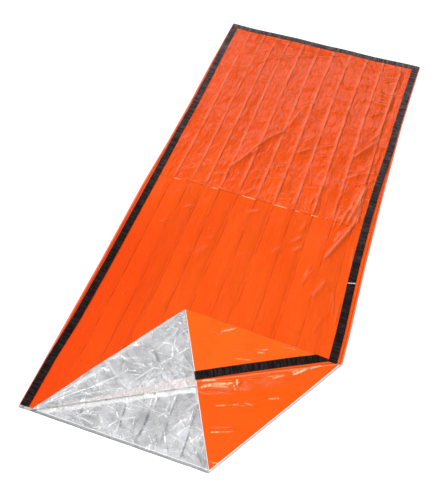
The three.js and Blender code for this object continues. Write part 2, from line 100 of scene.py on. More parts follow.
# %% Measured edges
# how far the tape lies inside each long edge: y, inset
LEFT_TAPE_INSET = MM * np.array([
    (0, 2.6), (180, 4), (350, 13), (800, 16), (1000, 18), (1300, 10), (1700, 10), (2000, 4), (2134, 3),
])
RIGHT_TAPE_INSET = MM * np.array([
    (0, 8), (200, 13), (480, 17), (800, 20), (1100, 20), (1300, 16), (1550, 6), (1750, 5), (2134, 4),
])
# how far each edge lies off its straight line: place, drift
LEFT_EDGE_DRIFT = MM * np.array([
    (0, 0), (600, 0), (1000, -5), (1250, 0), (1500, 0), (1800, -5), (2134, -5),
])
RIGHT_EDGE_DRIFT = MM * np.array([
    (0, 0), (480, 0), (600, 0), (900, -8), (1250, -11), (1700, -10), (1900, -5), (2134, 2),
])
FOOT_EDGE_DRIFT = MM * np.array([
    (0, 3), (100, -2), (320, 3), (450, -1), (560, 1), (700, -3), (850, 3), (910, 2),
])
FOOT_DRIFT_REACH = 200 * MM


def look_up(table, at):
    """A value from a table with straight runs between its rows."""
    return np.interp(at, table[:, 0], table[:, 1])


def left_joint(y):
    """Under the middle of the left tape."""
    return look_up(LEFT_TAPE_INSET, y) + TAPE_WIDTH / 2


def right_joint(y):
    """Under the middle of the right tape, from the right edge."""
    return look_up(RIGHT_TAPE_INSET, y) + TAPE_WIDTH / 2


print("joints at the mouth, mm:", round(left_joint(0) / MM, 1), round(right_joint(0) / MM, 1))

# %% [markdown]
# ## Folding film on paper
# Film doesn't stretch, so its folded form can be worked out from the flat cut: a fold mirrors what lies
# past a line. A cloth simulation would have to find these folds by chance; mirroring gives them exactly.
# Each bend is a half ellipse, from the lower layer to the upper one.

# %% Lines and bends
TINY = 1e-9


def smooth(value):
    """An S-curve from 0 to 1: three squares less two cubes of the clipped value."""
    t = np.clip(value, 0, 1)
    return t * t * (3 - 2 * t)


def peak(distance, reach):
    """1 at no distance, straight down to 0 at the reach on both sides."""
    return np.clip(1 - np.abs(distance) / reach, 0, 1)


def mix(a, b, share):
    """a at share 0, b at share 1."""
    return a + (b - a) * share


def make_line(x, y, dx, dy):
    """A line as its point, unit direction and right-hand normal."""
    length = math.hypot(dx, dy)
    ax, ay = dx / length, dy / length
    return x, y, ax, ay, ay, -ax


def on_line(line, x, y):
    """The distances along a line and off it."""
    px, py, ax, ay, nx, ny = line
    return (x - px) * ax + (y - py) * ay, (x - px) * nx + (y - py) * ny


def from_line(line, along, off):
    """The place at given distances along a line and off it."""
    px, py, ax, ay, nx, ny = line
    return px + ax * along + nx * off, py + ay * along + ny * off


def bend(off, half):
    """Mirror what lies past the line. Within half of it, go round a half circle: off is minus half plus
    half times the sine of the turn, and the share of the rise is (1 - cosine) / 2."""
    turn = np.pi * (np.clip(off, -half, half) + half) / (2 * half)
    bent = -half + half * np.sin(turn)
    out = np.where(off <= -half, off, np.where(off >= half, -off, bent))
    return out, (1 - np.cos(turn)) / 2


print("5 mm past a line comes to lie at, mm:", float(bend(5.0, 2.0)[0]))

# %% [markdown]
# ## The opened corner
# Three folds make it, all through one point on the right edge: the upper panel folds back over itself,
# the kite-shaped tip folds on it, and the lower panel folds up beside them. Two angles were measured;
# the third follows from them, as it would on paper.

# %% Fold lines
CORNER = (910 * MM, 480 * MM)
TOP_FOLD_START_X = 40 * MM
LOWER_FOLD_DEG = 31.2
TOP_RUN = (CORNER[0] - TOP_FOLD_START_X, CORNER[1])
TOP_FOLD_TURN = math.atan2(TOP_RUN[1], TOP_RUN[0])
TOP_FOLD = make_line(TOP_FOLD_START_X, 0, *TOP_RUN)
TOP_FOLD_LENGTH = math.hypot(*TOP_RUN)
TOP_FOLD_DEG = 90 - math.degrees(TOP_FOLD_TURN)
KITE_FOLD_DEG = TOP_FOLD_DEG - LOWER_FOLD_DEG
KITE_TURN, LOWER_TURN = math.radians(KITE_FOLD_DEG), math.radians(LOWER_FOLD_DEG)
KITE_FOLD = make_line(*CORNER, math.sin(KITE_TURN), math.cos(KITE_TURN))
LOWER_FOLD = make_line(*CORNER, math.sin(LOWER_TURN), math.cos(LOWER_TURN))
KITE_SLOPE, LOWER_SLOPE = math.tan(KITE_TURN), math.tan(LOWER_TURN)
# half the width of each bend; the upper panel's at its start, middle and end
SIDE_ROLL, KITE_ROLL, LOWER_ROLL = 2.4 * MM, 2 * MM, 2.2 * MM
TOP_ROLL = (2.2 * MM, 7 * MM, 3.4 * MM)


def mirrored(line, x, y):
    """A place on the other side of a fold."""
    along, off = on_line(line, x, y)
    return from_line(line, along, -off)


def fold_heading(line, other):
    """The heading of one line mirrored in another fold."""
    start = mirrored(line, other[0], other[1])
    end = mirrored(line, other[0] + other[2], other[1] + other[3])
    return end[0] - start[0], end[1] - start[1]


def unfolded(table, *lines):
    """A table of folds with its places taken back to the flat cut, from the last fold to the first."""
    rows = []
    for x0, y0, x1, y1, *rest in table:
        ends = [(x0 * MM, y0 * MM), (x1 * MM, y1 * MM)]
        for line in lines:
            ends = [mirrored(line, *end) for end in ends]
        rows.append((*[value / MM for end in ends for value in end], *rest))
    return rows


print("fold angles from the edge:", round(TOP_FOLD_DEG, 1), round(KITE_FOLD_DEG, 1), LOWER_FOLD_DEG)

# %% [markdown]
# ## Relief of the film
# Over the flat film run soft wrinkles and sharp folds. Small ones come from smooth noise with a seed, so
# they are the same each time. The main ones are listed one by one, each as a run from one place to another.

# %% Noise and ridges
LATTICE = 64


def soft_noise(x, y, size_x, size_y, seed):
    """Smooth noise from -1 to 1: random heights on a lattice, mixed with the S-curve between its posts."""
    posts = np.random.default_rng(seed).uniform(-1, 1, (LATTICE, LATTICE))
    u, v = x / size_x + 31.7, y / size_y + 17.3
    i, j = np.floor(u).astype(int), np.floor(v).astype(int)
    s, t = smooth(u - i), smooth(v - j)
    sides = []
    for row in (j % LATTICE, (j + 1) % LATTICE):
        sides.append(mix(posts[i % LATTICE, row], posts[(i + 1) % LATTICE, row], s))
    return mix(*sides, t)


def ridges(table, x, y):
    """The sum of folds, each a run from one place to another, its reach to the left and to the right and
    its height, in mm. The section is a tent with hollow sides; it fades over its last fifth at both ends."""
    total = np.zeros_like(x)
    for x0, y0, x1, y1, left, right, height in table:
        line = make_line(x0 * MM, y0 * MM, (x1 - x0) * MM, (y1 - y0) * MM)
        length = math.hypot(x1 - x0, y1 - y0) * MM
        along, off = on_line(line, x, y)
        tent = peak(off, MM * np.where(off < 0, left, right)) ** 1.3
        ends = smooth(along / (0.2 * length)) * smooth((length - along) / (0.2 * length))
        total = total + height * MM * tent * ends
    return total


print("noise at the mouth's left corner:", round(float(soft_noise(0.0, 0.0, 0.1, 0.1, 3)), 3))

# %% [markdown]
# ## Folds that were read from the photograph
# Noise alone looks even everywhere, and the eye knows the real bag by its main folds. So each of those
# stands in a table: x0, y0, x1, y1, left reach, right reach and height, in mm. A negative height is a
# valley.

# %% Folds of the foot half
# broad folds of the upper panel
SOFT_FOLDS = [
    (250, 1150, 370, 1400, 50, 50, 2.6), (370, 1400, 520, 1690, 60, 60, 2.2),
    (270, 1950, 520, 2050, 60, 60, -1.8), (440, 1260, 590, 1380, 55, 55, -1.8),
    (735, 1430, 815, 1700, 50, 50, 2.2), (740, 850, 810, 1130, 45, 45, 2.2),
]
# sharp folds, from the left edge to the right
FINE_FOLDS = [
    (238, 1135, 300, 1168, 10, 24, 1.8), (292, 1195, 350, 1320, 12, 30, 2.4),
    (338, 1305, 398, 1425, 12, 28, 2.4), (388, 1412, 446, 1488, 12, 26, 2.0),
    (446, 1495, 478, 1650, 12, 26, 1.8), (470, 1640, 520, 1694, 10, 30, 2.0),
    (350, 1290, 372, 1340, 8, 12, 1.0), (372, 1330, 398, 1350, 6, 10, 0.8),
    (445, 1250, 500, 1290, 12, 28, 2.0), (440, 1245, 540, 1262, 8, 14, 0.8),
    (500, 1275, 575, 1283, 6, 12, 0.8), (515, 1362, 590, 1432, 12, 24, 1.6),
    (530, 1350, 580, 1372, 8, 12, 0.8), (598, 1375, 650, 1402, 10, 20, 1.4),
    (600, 1432, 672, 1478, 8, 22, 1.6), (604, 1322, 672, 1352, 6, 16, 1.4),
    (592, 1192, 690, 1222, 6, 14, 1.4), (600, 1180, 640, 1120, 10, 20, -1.2),
    (400, 1168, 446, 1192, 8, 16, 1.2), (448, 1195, 520, 1215, 8, 24, 1.0),
    (468, 1108, 600, 1152, 6, 12, 0.9), (520, 1090, 600, 1130, 6, 10, 0.7),
    (380, 1060, 430, 1130, 10, 20, 1.0), (120, 1120, 175, 1150, 6, 12, 0.7),
    (110, 1150, 220, 1180, 6, 12, 0.6), (60, 1375, 110, 1390, 6, 10, 0.9),
    (255, 1400, 300, 1470, 12, 20, 0.8), (310, 1490, 370, 1520, 8, 14, 0.7),
    (420, 1455, 446, 1480, 8, 14, 1.2), (110, 1660, 170, 1690, 8, 16, 0.7),
    (120, 1780, 180, 1830, 8, 14, 0.9), (185, 1790, 200, 1860, 8, 14, 0.8),
    (195, 1855, 240, 1935, 8, 20, 1.2), (125, 1925, 180, 1948, 6, 14, 1.0),
    (118, 2010, 180, 2058, 8, 16, 1.2), (250, 1750, 300, 1790, 6, 14, 0.8),
    (270, 1942, 350, 1985, 14, 34, 2.2), (340, 1978, 432, 2028, 12, 30, 2.2),
    (425, 2020, 535, 2058, 10, 26, 1.8), (250, 2062, 540, 2075, 10, 8, -1.2),
    (520, 2050, 600, 2098, 8, 18, 0.8), (365, 1780, 440, 1840, 8, 14, 0.6),
    (445, 1770, 500, 1800, 8, 16, 0.9), (440, 1850, 510, 1890, 8, 14, 0.6),
    (540, 1640, 590, 1620, 8, 14, 0.8), (590, 1590, 640, 1570, 8, 14, -0.8),
    (600, 1668, 640, 1692, 10, 26, 1.4), (636, 1690, 682, 1680, 10, 26, 1.4),
    (598, 1735, 680, 1752, 8, 16, 0.9), (600, 1845, 680, 1865, 6, 14, 1.0),
    (690, 1900, 745, 1925, 8, 14, 0.8), (640, 2088, 705, 2040, 8, 14, 1.4),
    (750, 1422, 832, 1570, 12, 34, 3.0), (800, 1545, 828, 1620, 10, 18, 2.0),
    (822, 1600, 836, 1740, 8, 14, 1.8), (748, 1300, 800, 1350, 12, 34, 2.2),
    (795, 1345, 862, 1385, 6, 12, 1.2), (790, 1350, 835, 1440, 10, 20, 1.2),
    (768, 1070, 815, 1180, 8, 22, 1.8), (812, 1170, 842, 1310, 8, 16, 1.6),
    (750, 1180, 765, 1300, 8, 14, 1.0), (800, 1080, 842, 1230, 6, 12, 1.2),
    (640, 1100, 665, 1190, 14, 20, 1.0), (705, 1240, 750, 1290, 10, 16, 0.8),
    (760, 1700, 812, 1752, 8, 24, 1.8), (765, 1800, 838, 1812, 8, 24, 1.6),
    (762, 1868, 800, 1872, 8, 20, 1.2), (798, 1872, 832, 1848, 8, 18, 1.4),
    (770, 1955, 832, 1998, 6, 14, 1.2), (762, 2008, 838, 2052, 6, 14, 1.2),
    (845, 1250, 842, 1420, 6, 7, -1.0), (856, 1380, 860, 1540, 6, 7, -0.9),
    (848, 1760, 850, 1900, 6, 8, -1.2), (852, 1880, 856, 2080, 6, 8, -1.2),
]
print("folds of the foot half:", len(SOFT_FOLDS), "broad,", len(FINE_FOLDS), "sharp")

# %% Folds of the mouth half and the right side
# long wrinkles beside the right tape
SIDE_FOLDS = [
    (758, 880, 843, 1120, 7, 12, 1.8), (752, 862, 804, 988, 6, 10, 1.3),
    (771, 1010, 828, 1320, 8, 14, 1.8), (800, 1048, 842, 1298, 7, 12, 1.8),
    (788, 1278, 862, 1340, 7, 12, 1.5), (725, 1322, 782, 1358, 7, 12, 1.2),
    (861, 868, 850, 982, 5, 7, 1.2), (852, 616, 851, 734, 6, 10, 1.1), (722, 842, 706, 768, 8, 12, 0.9),
    (840, 1078, 836, 1256, 7, 12, 1.6), (821, 758, 838, 648, 8, 12, 1.1),
    (757, 1020, 765, 1150, 10, 10, 1.4), (790, 560, 806, 640, 8, 12, 0.8),
    (842, 1256, 850, 1420, 6, 10, 1.4), (832, 1740, 834, 1900, 6, 9, 1.4),
    (832, 1900, 836, 2080, 6, 9, 1.4), (846, 1420, 858, 1540, 5, 8, 1.2),
    (740, 1882, 790, 1860, 8, 12, 1.5), (790, 1860, 842, 1878, 8, 12, 1.4),
    (752, 1800, 840, 1806, 8, 14, 1.4), (800, 1380, 862, 1374, 7, 12, 1.4),
    (776, 960, 790, 1030, 5, 9, 1.2), (812, 1120, 824, 1200, 5, 8, 1.2),
    (700, 1120, 706, 1230, 8, 14, 0.8),
]
# sharp folds of the mouth half
NEAR_FOLDS = [
    (765, 885, 790, 960, 7, 9, 1.4), (788, 955, 826, 1055, 6, 9, 1.6), (775, 960, 812, 1060, 5, 8, 1.0),
    (702, 735, 728, 815, 10, 16, 1.0), (640, 870, 670, 905, 8, 14, 1.0), (622, 905, 660, 950, 8, 14, 1.0),
    (745, 690, 790, 800, 14, 24, 1.2), (305, 730, 345, 800, 20, 40, 0.9),
    (230, 730, 300, 738, 8, 14, 0.6), (120, 830, 165, 845, 6, 12, 0.6), (190, 930, 232, 955, 8, 14, 0.8),
    (310, 810, 360, 835, 6, 14, 0.8), (455, 785, 510, 815, 6, 12, 0.5),
    (640, 960, 668, 1040, 12, 16, 0.8), (420, 980, 480, 1020, 12, 20, 0.7),
    (545, 800, 600, 870, 14, 24, 0.6),
]
# how much taller each table stands in the mesh
SHARP_FOLDS = ((FINE_FOLDS, 2.6), (NEAR_FOLDS, 2), (SIDE_FOLDS, 1.6))
print("folds beside the tape:", len(SIDE_FOLDS), "and near the mouth:", len(NEAR_FOLDS))

# %% [markdown]
# ## Storage creases
# Stored folded for months, the film keeps a grid of creases: long ones a hand's width apart and one
# across the middle, where each ridge turns into a valley. They are heights over the plan too, so the
# layers above and below can follow them.

# %% Pleats and the middle fold
# long creases: x at the foot half, x at the mouth half
LONG_CREASES = MM * np.array([
    (100, 93), (172, 165), (232, 228), (291, 290), (365, 365), (440, 440),
    (512, 510), (590, 588), (668, 665), (745, 745), (828, 820),
])
PLEAT_HEIGHT, CREASE_REACH, CREASE_HEIGHT = 1.6 * MM, 3.5 * MM, 0.3 * MM
HALF_FOLD_Y, HALF_FOLD_REACH, HALF_FOLD_HEIGHT = 1065 * MM, 45 * MM, 1.2 * MM
CREST_JUMP, CREST_REACH, CREST_HEIGHT = 4 * MM, 9 * MM, 1.1 * MM


def past_half(y):
    """0 in the mouth half, 1 in the foot half, an S-curve across the middle fold."""
    return smooth((y - HALF_FOLD_Y) / HALF_FOLD_REACH / 2 + 0.5)


def crease_places(y):
    """x of every long crease at y: each leans over from its mouth place to its foot place."""
    share = past_half(y)
    return [mix(near, far, share) for far, near in LONG_CREASES]


def pleats(x, y):
    """Zigzag between the storage creases, and a small tent on each. Past the middle fold its sign turns
    round: a crease is a ridge in the foot half and a groove in the mouth half."""
    places = crease_places(y)
    tents = sum(peak(x - place, CREASE_REACH) for place in places)
    zigzag = np.ones_like(x)
    for k, (place, after) in enumerate(zip(places[:-1], places[1:])):
        within = (x > place) & (x <= after)
        sign = 1 if k % 2 == 0 else -1
        zigzag = np.where(within, sign * (1 - 2 * (x - place) / (after - place)), zigzag)
    zigzag = np.sign(zigzag) * np.abs(zigzag) ** 1.2
    half = np.clip((y - HALF_FOLD_Y) / HALF_FOLD_REACH, -1, 1)
    return half * (PLEAT_HEIGHT * zigzag + CREASE_HEIGHT * tents)


def half_fold(x, y):
    """The crease across the middle: a ridge whose crest jumps from panel to panel."""
    stripe = np.floor(np.interp(x, LONG_CREASES[:, 1], np.arange(len(LONG_CREASES))) + 1)
    jump = np.where(stripe % 2 == 0, CREST_JUMP, -CREST_JUMP)
    crest = peak(y - HALF_FOLD_Y - jump, CREST_REACH)
    return HALF_FOLD_HEIGHT * peak(y - HALF_FOLD_Y, HALF_FOLD_REACH) + CREST_HEIGHT * crest


print("creases along the bag:", len(LONG_CREASES))

# %% [markdown]
# ## Soft wrinkles
# Between the creases the film is never flat. Three sizes of noise, stretched along one slant, look like
# air that was pressed out towards one side; beside the tape the film is gathered a little.

# %% Wrinkles and puckers
WRINKLE_START, WRINKLE_RISE = 800 * MM, 400 * MM


def wrinkles(x, y):
    """Low wandering unevenness that runs up to the right, stronger towards the foot."""
    far = mix(0.6, 1.0, smooth((y - WRINKLE_START) / WRINKLE_RISE))
    along, off = on_line(make_line(0, 0, 1, 1.3), x, y)
    wide = 0.9 * MM * soft_noise(x + 0.3 * y, y, 0.16, 0.34, 3)
    middle = 1.0 * MM * soft_noise(off, along, 0.055, 0.15, 5)
    small = 0.45 * MM * soft_noise(off + 0.4 * along, along, 0.026, 0.07, 8)
    return far * (wide + middle + small)


def edge_puckers(x, y):
    """Small gathers where the tape draws the film in, fading out over two tape widths."""
    from_edge = np.minimum(x, BAG_WIDTH - x)
    near = smooth(1 - from_edge / (2.2 * TAPE_WIDTH))
    return near * (1.1 * MM * np.abs(soft_noise(x, y - x, 0.03, 0.018, 12)) - 0.3 * MM)


print("wrinkle in the middle, mm:", round(float(wrinkles(BAG_WIDTH / 2, HALF_FOLD_Y)) / MM, 2))

# %% [markdown]
# ## Heights of the two panels
# The lower panel lies on the ground and the upper one over it, low at the taped edges and crowned
# between them. Each height is a formula over the plan, so the layers never cut through each other.

# %% Lower and upper layer
FLOOR_LAYER_Z, SIDE_LAYER_Z = 0.6 * MM, 4.6 * MM
CROWN_LAYER_Z, FOLD_LAYER_Z = 10.5 * MM, 6.0 * MM
FOOT_FLOOR_Z, FOOT_TOP_Z = 1.9 * MM, 3.7 * MM
EDGE_FLAT, EDGE_RISE = 55 * MM, 110 * MM
FOOT_RISE, FOLD_RISE = 120 * MM, 90 * MM
SHARP_FOOT_FADE, SHARP_EDGE, SHARP_EDGE_FADE = 15 * MM, 42 * MM, 12 * MM
PUCKER_FADE = 60 * MM


def floor_layer(y):
    """The lower panel: flat on the ground, lifted a little at the foot to leave room for the tape."""
    foot = smooth((y - (BAG_LENGTH - 2 * FOOT_TAPE_REACH)) / FOOT_TAPE_REACH)
    return mix(FLOOR_LAYER_Z, FOOT_FLOOR_Z, foot)


def top_layer(x, y):
    """The upper panel: low at the taped edges, the foot and its fold, crowned between them."""
    from_edge = np.minimum(x, BAG_WIDTH - x)
    inner = smooth((from_edge - EDGE_FLAT) / EDGE_RISE)
    foot = smooth((FOOT_TAPE_Y - y) / FOOT_RISE)
    side = mix(FOOT_TOP_Z, SIDE_LAYER_Z, foot)
    _, off = on_line(TOP_FOLD, x, y)
    near_fold = smooth((-off - TOP_ROLL[1]) / FOLD_RISE)
    crown = mix(FOLD_LAYER_Z, CROWN_LAYER_Z, near_fold)
    relief = near_fold * (pleats(x, y) + ridges(SOFT_FOLDS, x, y) + wrinkles(x, y)) + half_fold(x, y)
    sharp = sum(gain * ridges(table, x, y) for table, gain in SHARP_FOLDS)
    fine = near_fold * smooth((FOOT_TAPE_Y - y) / SHARP_FOOT_FADE) * sharp
    fine = fine * smooth((from_edge - SHARP_EDGE) / SHARP_EDGE_FADE)
    puckers = foot * smooth(-off / PUCKER_FADE) * edge_puckers(x, y)
    return mix(side, crown + relief, inner * foot) + fine + puckers


print("crown over the ground, mm:", CROWN_LAYER_Z / MM)

# %% [markdown]
# ## Creases of the silver
# The inside is crumpled like foil: short straight creases that meet at points. The ones that catch the
# eye are listed one by one, on the flap that is turned back and on the floor in front of it.

# %% Creases of the flap and the floor
FLAP_FOLDS = [
    (311, 307, 345, 282, 7, 7, 1.8), (345, 282, 393, 246, 7, 7, 1.2), (298, 193, 352, 268, 7, 7, 1.6),
    (352, 268, 392, 322, 7, 7, 1.4), (392, 322, 429, 372, 7, 7, 1.8), (329, 350, 372, 358, 8, 8, 2.0),
    (372, 358, 402, 336, 7, 7, 1.5), (402, 336, 464, 296, 5, 5, 1.1), (60, 22, 185, 132, 6, 6, 1.6),
    (185, 132, 262, 205, 7, 7, 1.8), (64, 34, 196, 208, 6, 6, 1.9), (80, 38, 240, 178, 5, 5, 1.2),
    (120, 70, 300, 178, 5, 5, 1.0), (186, 206, 222, 196, 7, 7, 1.8), (190, 232, 226, 268, 6, 6, 1.6),
    (214, 268, 262, 252, 6, 6, 1.5), (270, 246, 320, 258, 6, 6, 1.7), (320, 258, 338, 276, 6, 6, 1.5),
    (262, 214, 300, 232, 5, 5, 1.3), (275, 205, 318, 222, 5, 5, 1.0), (305, 300, 322, 322, 6, 6, 1.6),
    (352, 440, 392, 452, 6, 6, 1.3), (360, 380, 366, 430, 6, 6, 1.2), (330, 400, 352, 436, 5, 5, 1.1),
    (378, 404, 402, 440, 5, 5, 1.4), (340, 462, 366, 486, 5, 5, 1.2), (204, 244, 246, 330, 8, 8, 1.4),
    (246, 330, 292, 404, 9, 9, 1.3), (140, 122, 190, 188, 9, 9, 1.8), (238, 300, 262, 352, 5, 5, 1.2),
]
FLOOR_FOLDS = [
    (142, 47, 183, 33, 5, 5, 1.8), (183, 33, 248, 26, 5, 5, 1.8), (183, 44, 242, 59, 5, 5, 1.2),
    (206, 74, 242, 92, 6, 6, 1.5), (253, 98, 289, 88, 6, 6, 1.6), (289, 88, 306, 68, 5, 5, 1.6),
    (306, 68, 283, 29, 6, 6, 1.8), (306, 65, 359, 94, 7, 7, 1.7), (295, 106, 359, 112, 5, 5, 1.5),
    (312, 122, 383, 129, 4, 4, 1.6), (383, 129, 445, 126, 4, 4, 1.6), (300, 150, 310, 118, 5, 5, 1.6),
    (372, 186, 380, 132, 5, 5, 1.8), (388, 180, 391, 136, 4, 4, 1.2), (441, 214, 444, 130, 4, 4, 1.2),
    (465, 88, 500, 147, 9, 9, 1.4), (480, 70, 520, 128, 6, 6, 1.1), (530, 123, 559, 118, 5, 5, 1.5),
    (530, 65, 559, 112, 5, 5, 1.5), (508, 186, 512, 132, 4, 4, 1.1), (240, 12, 262, 30, 5, 5, 1.4),
    (262, 30, 300, 22, 6, 6, 1.4), (300, 14, 336, 18, 6, 6, 1.8), (330, 30, 352, 12, 5, 5, 1.4),
    (366, 22, 380, 12, 5, 5, 1.4), (404, 60, 436, 22, 4, 4, 0.9), (440, 96, 470, 40, 4, 4, 1.0),
    (530, 40, 560, 26, 5, 5, 1.4), (570, 96, 600, 30, 4, 4, 1.1), (110, 34, 150, 42, 5, 5, 1.4),
    (206, 56, 250, 72, 4, 4, 1.1), (250, 52, 290, 44, 4, 4, 1.0), (480, 20, 520, 36, 4, 4, 1.1),
]


def foil(x, y, seed):
    """Crumpled foil: three sizes of noise, each folded at its zero lines, which leaves sharp valleys."""
    large = np.abs(soft_noise(x + 0.4 * y, y, 0.05, 0.07, seed))
    middle = np.abs(soft_noise(x - 0.6 * y, y + 0.3 * x, 0.024, 0.03, seed + 1))
    small = np.abs(soft_noise(x + 0.2 * y, y - 0.7 * x, 0.012, 0.014, seed + 2))
    return 1.5 * MM * large + 0.9 * MM * middle + 0.4 * MM * small


print("creases of the silver:", len(FLAP_FOLDS) + len(FLOOR_FOLDS))

# %% [markdown]
# ## Heights at the opened corner
# The flap lies on the upper panel and shows silver. The corner's kite lies over the flap and runs down a
# ramp to the lower panel. Each height is built on the one below, so a wrinkle underneath shows through.

# %% The flap
MOUTH_TURN = math.radians(2 * LOWER_FOLD_DEG)
# the corner of the mouth on the joined edge, and the mouth edge of the opened corner through it
KITE_TIP = (CORNER[0] - CORNER[1] * math.sin(MOUTH_TURN), CORNER[1] - CORNER[1] * math.cos(MOUTH_TURN))
KITE_EDGE = make_line(*KITE_TIP, -math.cos(MOUTH_TURN), math.sin(MOUTH_TURN))
FLAP_EDGE = make_line(TOP_FOLD_START_X, 0, math.cos(2 * TOP_FOLD_TURN), math.sin(2 * TOP_FOLD_TURN))
FLAP_RISE, FLAP_EDGE_RISE, FLAP_FOLD_RISE = 5.2 * MM, 3.4 * MM, 2.6 * MM
# two long facets beside the fold: the first one even, the second one growing along the fold
FIRST_FACET, SECOND_FACET, FACET_RUN = 21 * MM, 34 * MM, 510 * MM
FIRST_FACET_RISE, SECOND_FACET_RISE, SECOND_FACET_START = 1.2 * MM, 1.8 * MM, 1 * MM
CRUMPLE_START, CRUMPLE_FADE = 24 * MM, 12 * MM
FLAP_EDGE_FADE, FLAP_FOLD_FADE, FACET_EDGE_FADE, SHOWN_FADE = 45 * MM, 34 * MM, 30 * MM, 25 * MM


def flap_layer(x, y):
    """The turned-back flap: a little over the upper panel, lower at its free edge, crumpled where it
    shows past its two facets."""
    along, off = on_line(TOP_FOLD, x, y)
    _, from_edge = on_line(FLAP_EDGE, x, y)
    _, from_kite = on_line(KITE_EDGE, x, y)
    shown = smooth(-from_kite / SHOWN_FADE)
    rise = mix(FLAP_EDGE_RISE, FLAP_RISE, smooth(from_edge / FLAP_EDGE_FADE))
    rise = mix(np.minimum(rise, FLAP_FOLD_RISE), rise, smooth(-off / FLAP_FOLD_FADE))
    second_width = SECOND_FACET_START + SECOND_FACET * np.clip(along / FACET_RUN, 0, 1)
    second = np.clip((-off - FIRST_FACET) / second_width, 0, 1)
    facet = FIRST_FACET_RISE * np.clip(-off / FIRST_FACET, 0, 1) + SECOND_FACET_RISE * second
    past_facets = -off - CRUMPLE_START - SECOND_FACET * along / FACET_RUN
    crumple = smooth(past_facets / CRUMPLE_FADE) * smooth(from_edge / CRUMPLE_FADE)
    relief = crumple * (ridges(FLAP_FOLDS, x, y) + foil(x, y, 21))
    return top_layer(x, y) + rise + shown * (facet * smooth(from_edge / FACET_EDGE_FADE) + relief)


print("corner of the kite:", np.round(KITE_TIP, 3))

# %% [markdown]
# ## The kite and the floor in front
# The kite is the top layer, so its height starts from the flap's and slides down past the fold. The floor
# in front of it is the lower panel, crumpled where it lies open and swollen where it carries the fold.

# %% The kite and the open floor
# creases of the opened corner, past its tape and before it
KITE_FAR_FOLDS = [
    (500, 458, 548, 488, 6, 6, 1.6), (628, 434, 668, 438, 6, 6, 1.4), (470, 440, 520, 452, 5, 5, 0.8),
    (700, 470, 760, 482, 5, 5, 0.8), (560, 400, 640, 420, 6, 6, 0.7),
]
KITE_NEAR_FOLDS = [
    (760, 400, 850, 450, 6, 6, 2.0), (790, 408, 830, 446, 5, 5, 1.6), (742, 392, 800, 412, 5, 5, 1.6),
    (498, 252, 560, 282, 5, 5, 1.8), (505, 268, 600, 305, 5, 5, 1.8), (520, 250, 610, 275, 5, 5, 1.6),
    (596, 278, 622, 312, 5, 5, 1.8), (560, 205, 662, 240, 5, 5, 1.4), (640, 236, 690, 248, 4, 4, 1.2),
    (566, 128, 655, 162, 5, 5, 1.4), (716, 288, 756, 304, 4, 4, 1.4), (598, 30, 628, 34, 5, 5, 1.6),
    (650, 345, 700, 372, 4, 4, 1.2), (680, 362, 730, 380, 4, 4, 1.4), (610, 320, 680, 345, 4, 4, 0.9),
]
KITE_RISE, LOW_KITE_RISE = 3.2 * MM, 3.2 * MM
KITE_RAMP_START, KITE_RAMP = 2 * MM, 42 * MM
CORNER_PILE = (20 * MM, 160 * MM)
STRIP_REACH = 24 * MM
OPEN_START, OPEN_FADE = 4 * MM, 20 * MM
# the swell under the fold: its height at the edges and what it gains inside them, in mm
SWELL_AT_EDGE, SWELL_GAIN = 2.6, 1.4
SWELL_REACH, SWELL_START = 26 * MM, 40 * MM


def kite_layer(x, y):
    """The opened corner: over the flap, then down a ramp past the upper panel's fold to the lower panel."""
    along, off = on_line(TOP_FOLD, x, y)
    kept_x, kept_y = from_line(TOP_FOLD, along, np.minimum(off, 0))
    high = flap_layer(kept_x, kept_y) + KITE_RISE
    low = FLOOR_LAYER_Z + LOW_KITE_RISE
    from_corner = np.hypot(x - CORNER[0], y - CORNER[1])
    lowered = mix(high, low, smooth((from_corner - CORNER_PILE[0]) / CORNER_PILE[1]))
    z = mix(high, lowered, smooth((off - KITE_RAMP_START) / KITE_RAMP))
    small = 0.35 * MM * soft_noise(x - 0.4 * y, y, 0.05, 0.022, 31)
    beside_fold = smooth(peak(off - KITE_RAMP_START, STRIP_REACH))
    strip = beside_fold * 1.8 * MM * np.abs(soft_noise(x, y, 0.024, 0.02, 33))
    return z + ridges(KITE_NEAR_FOLDS + KITE_FAR_FOLDS, x, y) + small + strip


def shown_floor(x, y):
    """The lower panel with the crumpled silver that lies open in front of the flap, and a swell under the
    upper panel's fold that carries it."""
    _, off = on_line(TOP_FOLD, x, y)
    _, from_kite = on_line(KITE_EDGE, x, y)
    open_share = smooth((off - OPEN_START) / OPEN_FADE) * smooth(-from_kite / SHOWN_FADE)
    relief = open_share * (0.2 * MM + np.maximum(0, ridges(FLOOR_FOLDS, x, y) + foil(x, y, 41)))
    inner = smooth((np.minimum(x, BAG_WIDTH - x) - EDGE_FLAT) / EDGE_RISE)
    swell = (SWELL_AT_EDGE + SWELL_GAIN * inner) * MM
    swell = swell * smooth(peak(off, SWELL_REACH)) * smooth(x / SWELL_START)
    return floor_layer(y) + np.maximum(relief, swell)


print("creases of the kite:", len(KITE_FAR_FOLDS) + len(KITE_NEAR_FOLDS))

# %% [markdown]
# ## From flat film to folded film
# Two functions lay the flat cut out: one for the upper side with its two folds, one for the lower panel
# with its wraps round the edges and its fold at the opened corner. Tapes can use them as well, because
# they go wherever the film goes.

# %% Folding the upper side


def unevenly(x, y, z):
    """Shift a place by the edges' drift, mixed across the width, and move it into the model's frame."""
    across = mix(look_up(LEFT_EDGE_DRIFT, y), look_up(RIGHT_EDGE_DRIFT, y), np.clip(x / BAG_WIDTH, 0, 1))
    to_foot = smooth((y - BAG_LENGTH + FOOT_DRIFT_REACH) / FOOT_DRIFT_REACH)
    along = look_up(FOOT_EDGE_DRIFT, x) * to_foot
    out = np.stack([x + across, y + along, z], axis=-1)
    return out + BAG_ORIGIN


